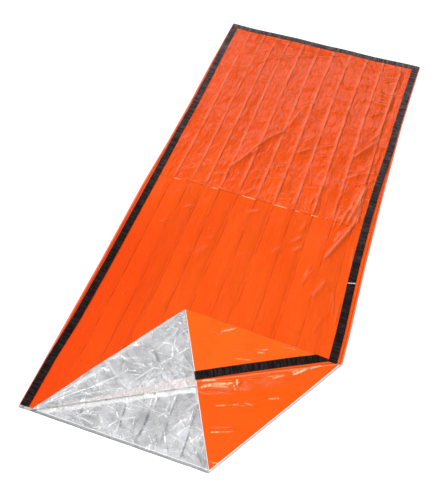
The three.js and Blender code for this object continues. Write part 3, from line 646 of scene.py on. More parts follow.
def top_roll_half(along):
    """Half the bend of the upper panel's fold: small at both ends, widest in the middle."""
    share = np.clip(along / TOP_FOLD_LENGTH, 0, 1)
    start, middle, end = TOP_ROLL
    first = mix(start, middle, smooth(share / 0.5))
    return np.where(share < 0.5, first, mix(middle, end, smooth((share - 0.5) / 0.5)))


def upper_side(x, y):
    """Fold the kite over first, then fold the flap with it over the upper panel."""
    along, off = on_line(KITE_FOLD, x, y)
    bent, kite = bend(off, KITE_ROLL)
    fx, fy = from_line(KITE_FOLD, along, bent)
    fx, fy = np.where(kite > 0, fx, x), np.where(kite > 0, fy, y)
    along, off = on_line(TOP_FOLD, fx, fy)
    half = np.where(kite >= 1, TINY, top_roll_half(along))
    bent, over = bend(off, half)
    px, py = from_line(TOP_FOLD, along, bent)
    lifted = mix(flap_layer(px, py), kite_layer(px, py), kite)
    return unevenly(px, py, mix(top_layer(px, py), lifted, over))


upper_corner = upper_side(np.array([BAG_WIDTH]), np.array([0.0]))
print("the upper panel's mouth corner comes to lie at, m:", np.round(upper_corner, 3))

# %% [markdown]
# ## Folding the lower panel
# Its laps wrap round the long edges on to the top. On the opened corner they can't: there the whole sheet
# folds up over its own line, and the lap goes with it.

# %% Folding the lower panel


def lower_side(x, y, on_kite):
    """Wrap the lower panel round both edges. The opened corner folds over its own line instead."""
    left_off, left_share = bend(-x, SIDE_ROLL)
    right_off, right_share = bend(x - BAG_WIDTH, SIDE_ROLL)
    left = x < SIDE_ROLL
    right = (x > BAG_WIDTH - SIDE_ROLL) & (not on_kite)
    along, off = on_line(LOWER_FOLD, x, y)
    bent, share = bend(off, LOWER_ROLL)
    cx, cy = from_line(LOWER_FOLD, along, bent)
    px = np.where(left, -left_off, np.where(right, BAG_WIDTH + right_off, cx))
    py = np.where(left | right, y, cy)
    share = np.where(left, left_share, np.where(right, right_share, share))
    upper = np.where(left | right, top_layer(px, py), kite_layer(px, py))
    return unevenly(px, py, mix(shown_floor(px, py), upper, share))


lower_corner = lower_side(np.array([BAG_WIDTH]), np.array([0.0]), True)
print("the lower panel's mouth corner comes to lie at, m:", np.round(lower_corner, 3))

# %% [markdown]
# ## Grids that follow the folds
# A plain square grid would cut across the folds and make saw teeth. So the rows run with each fold line,
# packed close in its bend, and the columns run with the storage creases.

# %% Lines that rows follow


def level(value):
    """A line square across the bag."""
    return lambda x: np.full_like(x, value)


def kite_line(shift):
    """The kite's fold, moved by its bend's half: -1 before it, 1 past it."""
    return lambda x: CORNER[1] - (BAG_WIDTH - x) / KITE_SLOPE + shift * KITE_ROLL / math.sin(KITE_TURN)


def lower_line(shift):
    """The lower panel's fold, moved in the same way."""
    return lambda x: CORNER[1] - (BAG_WIDTH - x) / LOWER_SLOPE + shift * LOWER_ROLL / math.sin(LOWER_TURN)


def top_line(shift):
    """The upper panel's fold, moved by a bend that changes along it."""
    def at(x):
        y = CORNER[1] / TOP_RUN[0] * (x - TOP_FOLD_START_X)
        along, _ = on_line(TOP_FOLD, x, y)
        return y + shift * top_roll_half(along) / math.sin(math.radians(TOP_FOLD_DEG))
    return at


print("the lower panel's fold starts at the mouth at x, m:", round(BAG_WIDTH - CORNER[1] * LOWER_SLOPE, 3))

# %% [markdown]
# ## Rows in blocks
# Between two lines the rows are even. A bend gets ten or twelve rows on a few millimetres, a plain
# stretch gets them far apart, so the mesh is fine only where the film is.

# %% Blocks of rows
CORNER_SLIT = 0.5 * MM
SLIT_Y = CORNER[1] + CORNER_SLIT
TAPE_END_Y = FOOT_TAPE_Y - JOINT_GAP
FOOT_Y = BAG_LENGTH - FOOT_SETBACK


def row_blocks(*stops):
    """Blocks of rows from line to line: a stop is a line and how many even steps lead up to it."""
    blocks = [(stops[0][0], stops[0][0], np.zeros(1))]
    for (start, _), (end, count) in zip(stops[:-1], stops[1:]):
        blocks.append((start, end, np.linspace(0, 1, count + 1)[1:]))
    return blocks


def block_rows(blocks):
    """How many rows a list of blocks gives."""
    return sum(len(shares) for _, _, shares in blocks)


MOUTH_STOPS = [
    (level(0), 0), (kite_line(-1), 56), (kite_line(1), 10), (top_line(-1), 54), (top_line(1), 12),
    (level(HALF_FOLD_Y - HALF_FOLD_REACH), 70), (level(HALF_FOLD_Y + HALF_FOLD_REACH), 24),
]
UPPER_BLOCKS = row_blocks(*MOUTH_STOPS, (level(FOOT_TAPE_Y), 142), (level(FOOT_Y), 4))
TAPE_BLOCKS = row_blocks(*MOUTH_STOPS, (level(TAPE_END_Y), 122))
LOWER_BLOCKS = row_blocks(
    (level(0), 0), (lower_line(-1), 60), (lower_line(1), 10), (level(SLIT_Y), 64),
    (level(BAG_LENGTH - 2 * FOOT_TAPE_REACH), 90), (level(FOOT_Y), 6),
)
print("rows:", block_rows(UPPER_BLOCKS), block_rows(TAPE_BLOCKS), block_rows(LOWER_BLOCKS))

# %% [markdown]
# ## Columns along the creases
# A storage crease stays sharp only where a column runs on it, with one close beside it on each side. As
# the creases lean, x depends on y and y on x, which a few rounds of both settle.

# %% Rows and columns together
SETTLE_ROUNDS = 5
BESIDE_CREASE = 3 * MM


def lay_rows(x, blocks):
    """y for every cell of a grid: each block of rows goes from one line to another at the column's x."""
    y = np.empty_like(x)
    first = 0
    for start, end, shares in blocks:
        part = slice(first, first + len(shares))
        a, b = np.maximum(0, start(x[:, part])), np.maximum(0, end(x[:, part]))
        y[:, part] = mix(a, b, shares)
        first += len(shares)
    return y


def crease_columns(spacing, inner_low, inner_high):
    """x at the mouth and the foot half for columns on every crease, close beside it and evenly between."""
    near, far = LONG_CREASES[:, 1], LONG_CREASES[:, 0]
    beside = [near - BESIDE_CREASE, near, near + BESIDE_CREASE]
    posts = np.sort(np.concatenate([*beside, [inner_low, inner_high]]))
    columns = [posts[:1]]
    for a, b in zip(posts[:-1], posts[1:]):
        count = max(1, round((b - a) / spacing))
        columns.append(np.linspace(a, b, count + 1)[1:])
    columns = np.concatenate(columns)
    known = np.concatenate([[inner_low], near, [inner_high]])
    shift = np.interp(columns, known, np.concatenate([[0], far - near, [0]]))
    return columns, columns + shift


def settle(places, rows, blocks):
    """x and y of a grid, worked out in turns: places gives x from y, the blocks give y from x."""
    y = np.zeros((rows, block_rows(blocks)))
    x = places(y)
    for _ in range(SETTLE_ROUNDS):
        y = lay_rows(x, blocks)
        x = places(y)
    print("grid", x.shape)
    return x, y


# %% [markdown]
# ## Meshes
# A grid of points becomes quads. The flat cut's own x and y go into the UV map, in metres, so crinkles
# and weave stay on the film when it folds. A second map counts the storage creases, for the shaders.

# %% Mesh from grids
STRIPE = 70 * MM
MERGE_DISTANCE, NO_LENGTH = 2e-5, 1e-6


def storage_place(flat):
    """Where a point of the cut lies in the storage folds: counted from crease to crease across, and from
    the middle fold in parts of its reach along."""
    x, y = flat[:, 0], flat[:, 1]
    posts = crease_places(y)
    count = (x - posts[0]) / STRIPE
    for k, (a, b) in enumerate(zip(posts[:-1], posts[1:])):
        count = np.where(x > a, k + (x - a) / (b - a), count)
    count = np.where(x > posts[-1], len(posts) - 1 + (x - posts[-1]) / STRIPE, count)
    return np.stack([count, (y - HALF_FOLD_Y) / HALF_FOLD_REACH], axis=-1)


def grid_faces(columns, rows, first=0, flipped=False):
    """Four corners of every cell, by index."""
    i, j = np.meshgrid(np.arange(columns - 1), np.arange(rows - 1), indexing="ij")
    a = (i * rows + j).ravel() + first
    faces = np.stack([a, a + rows, a + rows + 1, a + 1], axis=-1)
    return faces[:, ::-1] if flipped else faces


def cut_mesh(name, parts, flipped):
    """One mesh from grids of (points, flat x, flat y), with both UV maps; collapsed cells merge away."""
    points = np.concatenate([p.reshape(-1, 3) for p, _, _ in parts])
    flat = np.concatenate([np.stack([x.ravel(), y.ravel()], -1) for _, x, y in parts])
    faces, first = [], 0
    for p, _, _ in parts:
        faces.append(grid_faces(p.shape[0], p.shape[1], first, flipped))
        first += p.shape[0] * p.shape[1]
    mesh = bpy.data.meshes.new(name)
    mesh.from_pydata(points, [], np.concatenate(faces))
    corners = np.empty(len(mesh.loops), dtype=np.int32)
    mesh.loops.foreach_get("vertex_index", corners)
    for label, places in (("flat_cut", flat), ("storage_place", storage_place(flat))):
        uv = mesh.uv_layers.new(name=label)
        uv.data.foreach_set("uv", places[corners].astype(np.float32).ravel())
    work = bmesh.new()
    work.from_mesh(mesh)
    bmesh.ops.remove_doubles(work, verts=work.verts, dist=MERGE_DISTANCE)
    bmesh.ops.dissolve_degenerate(work, edges=work.edges, dist=NO_LENGTH)
    work.to_mesh(mesh)
    work.free()
    mesh.shade_smooth()
    return mesh


# %% [markdown]
# ## Sheets with two faces
# Solidify gives the thin sheet its two faces. With a second material and an offset, one face turns out
# orange and the other silver, as on the real film.

# %% Cloth object


def cloth_object(name, parts, flipped, thickness, materials, rim=0):
    """One piece of cloth from its grids, with its thickness and materials."""
    mesh = cut_mesh(name, parts, flipped)
    for material in materials:
        mesh.materials.append(material)
    piece = bpy.data.objects.new(name, mesh)
    bpy.context.scene.collection.objects.link(piece)
    thick = piece.modifiers.new("film", "SOLIDIFY")
    thick.thickness = thickness
    thick.offset = 0
    thick.use_even_offset = False
    thick.material_offset = 1 if len(materials) > 1 else 0
    thick.material_offset_rim = rim
    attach(piece, "root")
    print(name, "faces", len(mesh.polygons))
    return piece


# %% [markdown]
# ## Arithmetic with nodes
# A shader is a net of nodes, and long sums of them are hard to read as links. So one small class stands
# for what a node puts out: written with plus and times, it adds the Math nodes by itself.

# %% Fields


class Field:
    """A number, colour or vector that a node puts out. Arithmetic on it adds Math nodes to its tree."""

    def __init__(self, socket):
        self.socket = socket
        self.tree = socket.id_data

    def __add__(self, other):
        return maths("ADD", self, other)

    def __sub__(self, other):
        return maths("SUBTRACT", self, other)

    def __rsub__(self, other):
        return maths("SUBTRACT", other, self)

    def __mul__(self, other):
        return maths("MULTIPLY", self, other)

    def __truediv__(self, other):
        return maths("DIVIDE", self, other)


def add_node(tree, kind, inputs, **settings):
    """A shader node with its settings; each input gets a link from a field, or a plain value."""
    node = tree.nodes.new("ShaderNode" + kind)
    for label, value in settings.items():
        setattr(node, label, value)
    for label, value in inputs.items():
        target = node.inputs[label]
        if isinstance(value, Field):
            tree.links.new(value.socket, target)
        else:
            target.default_value = (*value, 1) if target.type == "RGBA" else value
    return node


def maths(operation, *values):
    """A Math node over fields and plain numbers."""
    tree = next(value.tree for value in values if isinstance(value, Field))
    return Field(add_node(tree, "Math", dict(enumerate(values)), operation=operation).outputs[0])


def vectors(operation, a, b=None):
    """A Vector Math node. A dot product and a length give a number, all others a vector."""
    inputs = {0: a}
    if b is not None:
        inputs["Scale" if operation == "SCALE" else 1] = b
    node = add_node(a.tree, "VectorMath", inputs, operation=operation)
    return Field(node.outputs["Value" if operation in ("DOT_PRODUCT", "LENGTH") else "Vector"])


# %% [markdown]
# ## Building blocks of a shader
# The same few steps come back in every effect: hold a value in its range, make a tent from a distance,
# add up many. A node group is an effect with named inputs and outputs that any material can place.

# %% Shapes of values and groups


def component(vector, axis):
    """One part of a vector."""
    return Field(add_node(vector.tree, "SeparateXYZ", {0: vector}).outputs[axis])


def clipped(value, low=0.0):
    """A value held between low and 1."""
    return maths("MINIMUM", maths("MAXIMUM", value, low), 1.0)


def tent(distance, width):
    """1 at no distance, straight down to 0 at the width, and 0 past it."""
    return maths("MAXIMUM", 1.0 - distance / width, 0.0)


def joined(operation, fields):
    """One field from many: their sum with ADD, the tallest with MAXIMUM."""
    result = fields[0]
    for field in fields[1:]:
        result = maths(operation, result, field)
    return result


def voronoi(place, scale, **settings):
    """Cells round random points."""
    return add_node(place.tree, "TexVoronoi", {"Vector": place, "Scale": scale}, **settings).outputs


def new_group(name, inputs, outputs):
    """An empty node group. An input without a number is a vector; all inputs come back as fields."""
    group = bpy.data.node_groups.new(name, "ShaderNodeTree")
    for label, value in inputs.items():
        kind = "NodeSocketVector" if value is None else "NodeSocketFloat"
        socket = group.interface.new_socket(label, in_out="INPUT", socket_type=kind)
        if value is not None:
            socket.default_value = value
    for label in outputs:
        group.interface.new_socket(label, in_out="OUTPUT", socket_type="NodeSocketFloat")
    given = group.nodes.new("NodeGroupInput").outputs
    return group, {label: Field(given[label]) for label in inputs}


def finish_group(group, **results):
    """Give the group its results by name."""
    out = group.nodes.new("NodeGroupOutput")
    for label, field in results.items():
        group.links.new(field.socket, out.inputs[label])
    print("group", group.name, "nodes", len(group.nodes))
    return group


# %% [markdown]
# ## Crinkle
# Film and foil are crumpled in facets: flat little planes that meet in sharp lines. Voronoi cells have
# such edges. Two sizes of them, bent by noise, make one group that both films use with their own strength.

# %% Crinkle group
CENTRE = (0.5, 0.5, 0.5)
CRINKLE_LINE = 0.05
# how much finer each size of cells is, and how much of it shows
CRINKLE_SIZES = ((1.0, 1.0), (2.6, 0.4))


def crinkle_group():
    """Height of crumpled film: planes that tilt by chance. Line marks where they meet."""
    group, given = new_group("film_crinkle", {"Vector": None, "Size": 30.0, "Bend": 0.02}, ("Height", "Line"))
    noise = add_node(group, "TexNoise", {"Vector": given["Vector"], "Scale": 11, "Detail": 2})
    sway = vectors("SUBTRACT", Field(noise.outputs["Color"]), CENTRE)
    moved = vectors("ADD", given["Vector"], vectors("SCALE", sway, given["Bend"]))
    heights, lines = [], []
    for ratio, share in CRINKLE_SIZES:
        placed = vectors("SCALE", moved, given["Size"] * ratio)
        cells = voronoi(placed, 1, voronoi_dimensions="2D")
        tilt = vectors("SUBTRACT", Field(cells["Color"]), CENTRE)
        arm = vectors("SUBTRACT", placed, Field(cells["Position"]))
        heights.append(vectors("DOT_PRODUCT", tilt, arm) * (share / ratio))
        rims = voronoi(placed, 1, voronoi_dimensions="2D", feature="DISTANCE_TO_EDGE")
        lines.append(tent(Field(rims["Distance"]), CRINKLE_LINE) * share)
    return finish_group(group, Height=joined("ADD", heights) / given["Size"], Line=joined("ADD", lines))


CRINKLE = crinkle_group()

# %% [markdown]
# ## Storage creases in the shader
# The mesh has the pleats, but a crease is sharper than its cells. The group draws it on the second UV
# map, where every crease is a whole number, so one formula serves all eleven.

# %% Storage crease group
# in parts of the way from crease to crease: the crest, and the middle of its steep side
CREST_PLACE, STEEP_PLACE = 0.045, 0.09
SLOW_SLOPE, STEEP_SLOPE = 5.5, -11.0


def crease_group():
    """Storage creases with a slow side on the left and a steep one on the right. Height is up in the foot
    half and down in the mouth half; Line is 1 in the middle of the steep side and 0 past Width."""
    inputs = {"Vector": None, "Width": 0.04, "Sway": 0.05}
    group, given = new_group("storage_creases", inputs, ("Line", "Height"))
    noise = add_node(group, "TexNoise", {"Vector": given["Vector"], "Scale": 0.7, "Detail": 2})
    place = (Field(noise.outputs["Fac"]) - 0.5) * given["Sway"] + component(given["Vector"], "X")
    off = place - maths("ROUND", place)
    line = tent(maths("ABSOLUTE", off - STEEP_PLACE), given["Width"])
    past_crest = off - CREST_PLACE
    sides = maths("MINIMUM", past_crest * SLOW_SLOPE + 1.0, past_crest * STEEP_SLOPE + 1.0)
    half = clipped(component(given["Vector"], "Y"), -1.0)
    return finish_group(group, Line=line, Height=maths("MAXIMUM", sides, 0.0) * half)


CREASES = crease_group()

# %% [markdown]
# ## A crease from a table
# Folds that are too narrow for the mesh, painted highlights and strokes of painted shade are all runs between
# two places of the cut. One group measures the distance to such a run; a table places it as often as needed.

# %% Single crease group
END_SLOPE = 6.0


def run_group():
    """One crease as a tent over a straight run: 1 on it, 0 past Width, and 0 at both ends."""
    inputs = {"Vector": None, "From": None, "To": None, "Width": 0.005}
    group, given = new_group("crease_run", inputs, ["Height"])
    run = vectors("SUBTRACT", given["To"], given["From"])
    arm = vectors("SUBTRACT", given["Vector"], given["From"])
    share = clipped(vectors("DOT_PRODUCT", arm, run) / vectors("DOT_PRODUCT", run, run))
    away = vectors("LENGTH", vectors("SUBTRACT", arm, vectors("SCALE", run, share)))
    ends = maths("MINIMUM", share * (1.0 - share) * END_SLOPE, 1.0)
    return finish_group(group, Height=tent(away, given["Width"]) * ends)


RUN = run_group()

# %% [markdown]
# ## Helpers for materials
# Each finish is built in the same way: a colour with coats painted over it through masks, a roughness,
# and a stack of bumps. These helpers hold that pattern, so a material reads as a list of its coats.

# %% Material helpers
BLACK, WHITE = (0, 0, 0), (1, 1, 1)


def new_material(name):
    """A material with its Principled shader and both UV maps."""
    material = bpy.data.materials.new(name)
    material.use_nodes = True
    tree = material.node_tree
    maps = [add_node(tree, "UVMap", {}, uv_map=label) for label in ("flat_cut", "storage_place")]
    return material, tree.nodes["Principled BSDF"], *[Field(uv.outputs["UV"]) for uv in maps]


def finish_material(material, shader, colour, rough, normal):
    """Link what was worked out for the surface to its shader."""
    for label, field in (("Base Color", colour), ("Roughness", rough), ("Normal", normal)):
        material.node_tree.links.new(field.socket, shader.inputs[label])
    print("material", material.name, "nodes", len(material.node_tree.nodes))
    return material


def placed_group(group, vector, **values):
    """A group placed with its own values; what it puts out comes back by name."""
    node = add_node(vector.tree, "Group", {"Vector": vector, **values}, node_tree=group)
    return {socket.name: Field(socket) for socket in node.outputs}


def relief(*layers):
    """The normal of a stack of Bump nodes. A layer is a height and how many metres a value of 1 stands."""
    under = {}
    for height, metres in layers:
        inputs = {"Strength": 1, "Distance": metres, "Height": height, **under}
        under = {"Normal": Field(add_node(height.tree, "Bump", inputs).outputs["Normal"])}
    return under["Normal"]


def grey(value):
    """A grey, or the weight of a mask."""
    return (value, value, value)


def ramp(value, stops, steady=False):
    """A colour ramp from a value; stops are (place, colour). A steady one has no runs between stops."""
    node = add_node(value.tree, "ValToRGB", {"Fac": value})
    elements = node.color_ramp.elements
    node.color_ramp.interpolation = "CONSTANT" if steady else "LINEAR"
    while len(elements) < len(stops):
        elements.new(0.5)
    for element, (place, colour) in zip(elements, stops):
        element.position = place
        element.color = (*colour, 1)
    return Field(node.outputs["Color"])


def rising(value, start, end):
    """0 up to the start, 1 from the end on, straight between them."""
    inputs = {"Value": value, "From Min": start, "From Max": end}
    return Field(add_node(value.tree, "MapRange", inputs).outputs[0])


def painted(colour, *coats):
    """A colour under coats, each a mask and the colour that it brings, from the lowest to the top."""
    for mask, coat in coats:
        node = add_node(mask.tree, "Mix", {"Factor": mask, 6: colour, 7: coat}, data_type="RGBA")
        colour = Field(node.outputs[2])
    return colour


# %% [markdown]
# ## Patterns
# The unevenness of a finish comes from noise on the cut: stretched and turned for wrinkles, folded at its
# middle for sharp valleys, and as flat random tones in cells for foil.

# %% Noise, valleys and facets
FACET_STRETCH, FACET_SWAY = (1, 0.7, 1), 0.05


def noise_on(vector, scale, detail, stretch=(1, 1, 1), turn=0.0):
    """Noise, stretched and turned on the film."""
    inputs = {"Vector": vector, "Scale": stretch, "Rotation": (0, 0, math.radians(turn))}
    turned = Field(add_node(vector.tree, "Mapping", inputs).outputs[0])
    inputs = {"Vector": turned, "Scale": scale, "Detail": detail}
    return Field(add_node(vector.tree, "TexNoise", inputs).outputs["Fac"])


def ridged(noise):
    """Sharp valleys where a noise crosses its middle: twice its distance from one half."""
    return maths("ABSOLUTE", noise - 0.5) * 2.0


def facets(uv, scales):
    """Flat random tones in straight-sided cells, the mean of several sizes: painted reflections of light and
    dark foil planes.
    """
    push = add_node(uv.tree, "CombineXYZ", {"X": noise_on(uv, 9, 2) * FACET_SWAY})
    place = vectors("ADD", vectors("MULTIPLY", uv, FACET_STRETCH), Field(push.outputs[0]))
    tones = []
    for scale in scales:
        tone = add_node(uv.tree, "SeparateColor", {0: Field(voronoi(place, scale)["Color"])})
        tones.append(Field(tone.outputs[0]) * (1 / len(scales)))
    return joined("ADD", tones)


# %% [markdown]
# ## Places on the cut
# A finish often starts or ends at a line: a fold, an edge, the middle. A mask from the distance past that
# line keeps it sharp at any size, where a painted picture would blur.

# %% Bands and runs
BLUR = 0.6 * MM
OUTSIDE = -0.01
# more than any distance on the cut, in metres
FAR_PAST = 9


def past(uv, line):
    """How far a place of the cut lies past a line, in metres."""
    px, py, _, _, nx, ny = line
    return vectors("DOT_PRODUCT", uv, (nx, ny, 0)) - (px * nx + py * ny)


def band(distance, low, high, blur=BLUR):
    """1 where a distance is between low and high, with a short blur at both ends."""
    return clipped(maths("MINIMUM", (distance - low) / blur, (high - distance) / blur))


def beyond(uv, line, blur=BLUR):
    """1 past a line, 0 before it."""
    return band(past(uv, line), 0, FAR_PAST, blur)


def run_height(uv, x0, y0, x1, y1, width):
    """One placed crease, its places and width in mm."""
    ends = {"From": (x0 * MM, y0 * MM, 0), "To": (x1 * MM, y1 * MM, 0)}
    return placed_group(RUN, uv, Width=width * MM, **ends)["Height"]


def run_mask(uv, table):
    """A mask of runs along creases, broken up along their length; the tables carry painted highlights,
    strokes of painted shade and pale marks. A row is x0, y0, x1, y1, width and strength."""
    total = joined("ADD", [run_height(uv, *row[:5]) * row[5] for row in table])
    broken = ramp(noise_on(uv, 110, 3), [(0.36, grey(0.2)), (0.5, WHITE)])
    return maths("MINIMUM", total * broken, 1.0)


def placed_runs(uv, table, where_they_cross="ADD"):
    """The height of a table's folds in mm; where two cross, their sum or the tallest."""
    heights = [run_height(uv, *row[:4], 0.5 * (row[4] + row[5])) * row[6] for row in table]
    return joined(where_they_cross, heights)


def crisp(table, width, least):
    """The taller folds of a table with both sides made narrow, for the shader."""
    return [(*row[:4], width, width, row[6]) for row in table if abs(row[6]) >= least]


# %% [markdown]
# ## Lines that the finishes start from
# They are worked out from the same folds and sizes as the mesh, so colour and shape can't drift apart.

# %% Named lines
HALF_LINE = make_line(0, HALF_FOLD_Y, -1, 0)
MOUTH_LINE = make_line(0, 0, -1, 0)
RIGHT_LINE, LEFT_LINE = make_line(BAG_WIDTH, 0, 0, 1), make_line(0, 0, 0, -1)
# the orange is redder to the left of one line and nearer than the other
REDDER_SIDE, REDDER_NEAR = make_line(380 * MM, 0, 0, -1), make_line(0, 1000 * MM, 1, 0)
# where the painted shadow at the left corner of the mouth ends, and where the painted rim of the opened
# corner ends
LAP_LINE = make_line(60 * MM, 0, 0, -1)
CORNER_LINE = make_line(0, CORNER[1] - 6 * MM, -1, 0)
# the kite's fold as it lies once the flap is folded back; the corner's painted light fades with it
FOLDED_KITE_LINE = make_line(*mirrored(TOP_FOLD, *KITE_FOLD[:2]), *fold_heading(TOP_FOLD, KITE_FOLD))
# the upper panel's fold turned round, so that what the panel covers lies past it
FLOOR_LINE = make_line(TOP_FOLD[0], TOP_FOLD[1], -TOP_FOLD[2], -TOP_FOLD[3])
# the painted reflection on the facet beside the flap's fold ends at a line through these two places
WEDGE_START, WEDGE_END = mirrored(TOP_FOLD, 110 * MM, 42 * MM), mirrored(TOP_FOLD, 472 * MM, 278 * MM)
WEDGE_LINE = make_line(*WEDGE_START, WEDGE_END[0] - WEDGE_START[0], WEDGE_END[1] - WEDGE_START[1])
print("middle fold at", HALF_LINE[1], "m")

# %% [markdown]
# ## Orange film: its colour
# The outside is glossy orange film. Its colour is deep and redder in the near left part; the opened corner is
# painted lighter and warmer, as painted light. Past the middle it mirrors a low lamp and would turn out too
# pale,
# so it is painted a little darker there: painted shade. A painted picture could do that too, but masks on the
# cut stay sharp and can be tuned.

# %% Orange tones
DEEP_ORANGE, LIGHT_ORANGE = (0.94, 0.088, 0.007), (0.96, 0.110, 0.011)
# a redder tone for the near left part, and painted shade for the foot half
REDDER_ORANGE, FAR_ORANGE_SHADE = (0.91, 0.062, 0.005), (0.82, 0.078, 0.007)
# how strongly the opened corner is painted lighter at its fold and further in, and its tone, on each panel:
# painted light
UPPER_CORNER_LIGHT = (1.0, 0.55, (0.95, 0.168, 0.011))
LOWER_CORNER_LIGHT = (0.7, 0.7, (0.95, 0.116, 0.003))


def orange_base(uv, opened, redder, fold, painted_light):
    """The film's colour with its large, soft changes, painted light on the opened corner and painted shade
    past the middle.
    """
    tone = noise_on(uv, 7, 3, (1, 0.4, 1))
    at_fold, inside, lit_orange = painted_light
    fading = ramp(past(uv, fold) * 5.0, [(0.0, grey(at_fold)), (0.85, grey(inside))])
    return painted(
        ramp(tone, [(0.3, DEEP_ORANGE), (0.7, LIGHT_ORANGE)]),
        (redder * 0.8, REDDER_ORANGE),
        # painted light on the opened corner
        (opened * fading, lit_orange),
        # painted shade past the middle fold
        (beyond(uv, HALF_LINE, 0.4) * 0.6, FAR_ORANGE_SHADE),
    )


# %% [markdown]
# ## Orange film: its creases
# A crease in glossy film has a dark side and a lit one, and where it was bent hardest it catches the light.
# Painted shade on the dark line, a painted highlight on the lit ridge and painted highlights on runs of the
# middle fold are three coats.

# %% Crease coats
# painted shade of the storage creases, near and far
NEAR_CREASE_SHADE, FAR_CREASE_SHADE = (0.42, 0.028, 0.002), (0.66, 0.038, 0.002)
# a painted highlight on the creases' lit side, and painted highlights on the middle fold
LIT_CREASE, MIDDLE_FOLD_HIGHLIGHT = (0.95, 0.24, 0.13), (0.95, 0.52, 0.24)
# in reaches of the middle fold: where the long creases start to show behind the mouth
CREASE_START, CREASE_FULL = -21, -17
MIDDLE_HIGHLIGHT_REACH = 0.045
# where the middle fold has painted highlights: from x, to x in mm
MIDDLE_HIGHLIGHT_RUNS = [(103, 130), (262, 285), (384, 440), (514, 566), (600, 616), (664, 688)]


def middle_highlight_mask(uv, storage):
    """1 on the painted highlights of the middle fold, from a steady ramp across the bag and a thin band along
    it.
    """
    stops = [(0.0, BLACK)]
    for start, end in MIDDLE_HIGHLIGHT_RUNS:
        stops += [(start * MM / BAG_WIDTH, WHITE), (end * MM / BAG_WIDTH, BLACK)]
    run = ramp(component(uv, "X") / BAG_WIDTH, stops, steady=True)
    return run * maths("LESS_THAN", maths("ABSOLUTE", component(storage, "Y")), MIDDLE_HIGHLIGHT_REACH)


def crease_coats(uv, storage, creases, opened, redder, beyond_half):
    """Painted shade on the dark side and a painted highlight on the lit side of the storage creases: none on
    the opened corner, and the shade weaker in the near right part."""
    broken = ramp(noise_on(uv, 9, 2), [(0.35, grey(0.25)), (0.58, grey(0.85))])
    near_right = maths("MAXIMUM", beyond(uv, REDDER_NEAR, 0.25) - redder, 0.0)
    line = creases["Line"] * rising(component(storage, "Y"), CREASE_START, CREASE_FULL) * (1.0 - opened)
    line = line * (near_right * -0.35 + 1.0)
    lit = maths("MAXIMUM", creases["Height"], 0.0) * broken * (1.0 - opened)
    # painted shade on the creases' dark side; the lit side gets a painted highlight
    dark = painted(NEAR_CREASE_SHADE, (beyond_half, FAR_CREASE_SHADE))
    return (line * broken, dark), (lit * 0.75, LIT_CREASE)


# %% [markdown]
# ## Orange film: its edges
# The cut edge at the mouth has a painted highlight and a painted shadow at its left corner, the laps have a
# painted shade line and a painted highlight line beside the tape, and the fold of the opened corner has a
# painted highlight with a painted shadow at its very edge.

# %% Edge coats
# painted highlight on the cut edge at the mouth, and painted shadow at its left corner
MOUTH_EDGE_HIGHLIGHT, MOUTH_CORNER_SHADOW = (0.86, 0.82, 0.80), (0.52, 0.52, 0.53)
# painted shade and painted highlight lines along the long edges
EDGE_SHADE, EDGE_HIGHLIGHT = (0.25, 0.03, 0.01), (0.93, 0.45, 0.30)
# painted highlight along the fold of the opened corner, and painted shadow at its very edge
FOLD_RIM_HIGHLIGHT, FOLD_RIM_SHADOW = (0.85, 0.82, 0.80), (0.62, 0.61, 0.61)
CUT_EDGE_WIDTH, CUT_CORNER_DEPTH = 2.5 * MM, 9 * MM
# how far inside each long edge its painted highlight line and its painted shade line start, in mm, and how
# wide they are
EDGE_LINES = ((RIGHT_LINE, 1, 7), (LEFT_LINE, 2, 8.5))
EDGE_LINE_WIDTH = 3
FOLD_BAND = 6.5 * MM


def edge_coats(uv):
    """A painted highlight on the cut edge at the mouth, a painted shadow on its left corner, and a painted
    shade line and a painted highlight line wandering along each long edge.
    """
    to_mouth = past(uv, MOUTH_LINE)
    corner = band(to_mouth, OUTSIDE, CUT_CORNER_DEPTH) * beyond(uv, LAP_LINE)
    coats = [(band(to_mouth, OUTSIDE, CUT_EDGE_WIDTH), MOUTH_EDGE_HIGHLIGHT), (corner, MOUTH_CORNER_SHADOW)]
    for line, light, shade in EDGE_LINES:
        uneven = noise_on(uv, 16, 2) * (3 * MM) + past(uv, line) - 1.5 * MM
        for start, weight, tone in ((shade, 0.7, EDGE_SHADE), (light, 0.6, EDGE_HIGHLIGHT)):
            mask = band(uneven, start * MM, (start + EDGE_LINE_WIDTH) * MM, 1 * MM)
            coats.append((mask * weight, tone))
    return coats


def fold_coats(uv, fold):
    """A painted highlight along the fold of the opened corner, with a painted shadow at its very edge."""
    distance, before = past(uv, fold), band(past(uv, CORNER_LINE), -FAR_PAST, 0)
    return [
        (before * band(distance, OUTSIDE, FOLD_BAND), FOLD_RIM_HIGHLIGHT),
        (before * band(distance, OUTSIDE, 0.6 * FOLD_BAND), FOLD_RIM_SHADOW),
    ]


# %% [markdown]
# ## Orange film: gloss and relief
# Film is crumpled in flat facets with soft rumples over them, strongest in the foot half. All of that is
# too fine for the mesh, so bumps carry it. Now the whole finish can be put together.

# %% Orange film
# painted highlights: on the crests of the folds, and on creases of the opened corner
CREST_HIGHLIGHT, CREASE_HIGHLIGHT = (0.95, 0.38, 0.22), (0.98, 0.68, 0.33)


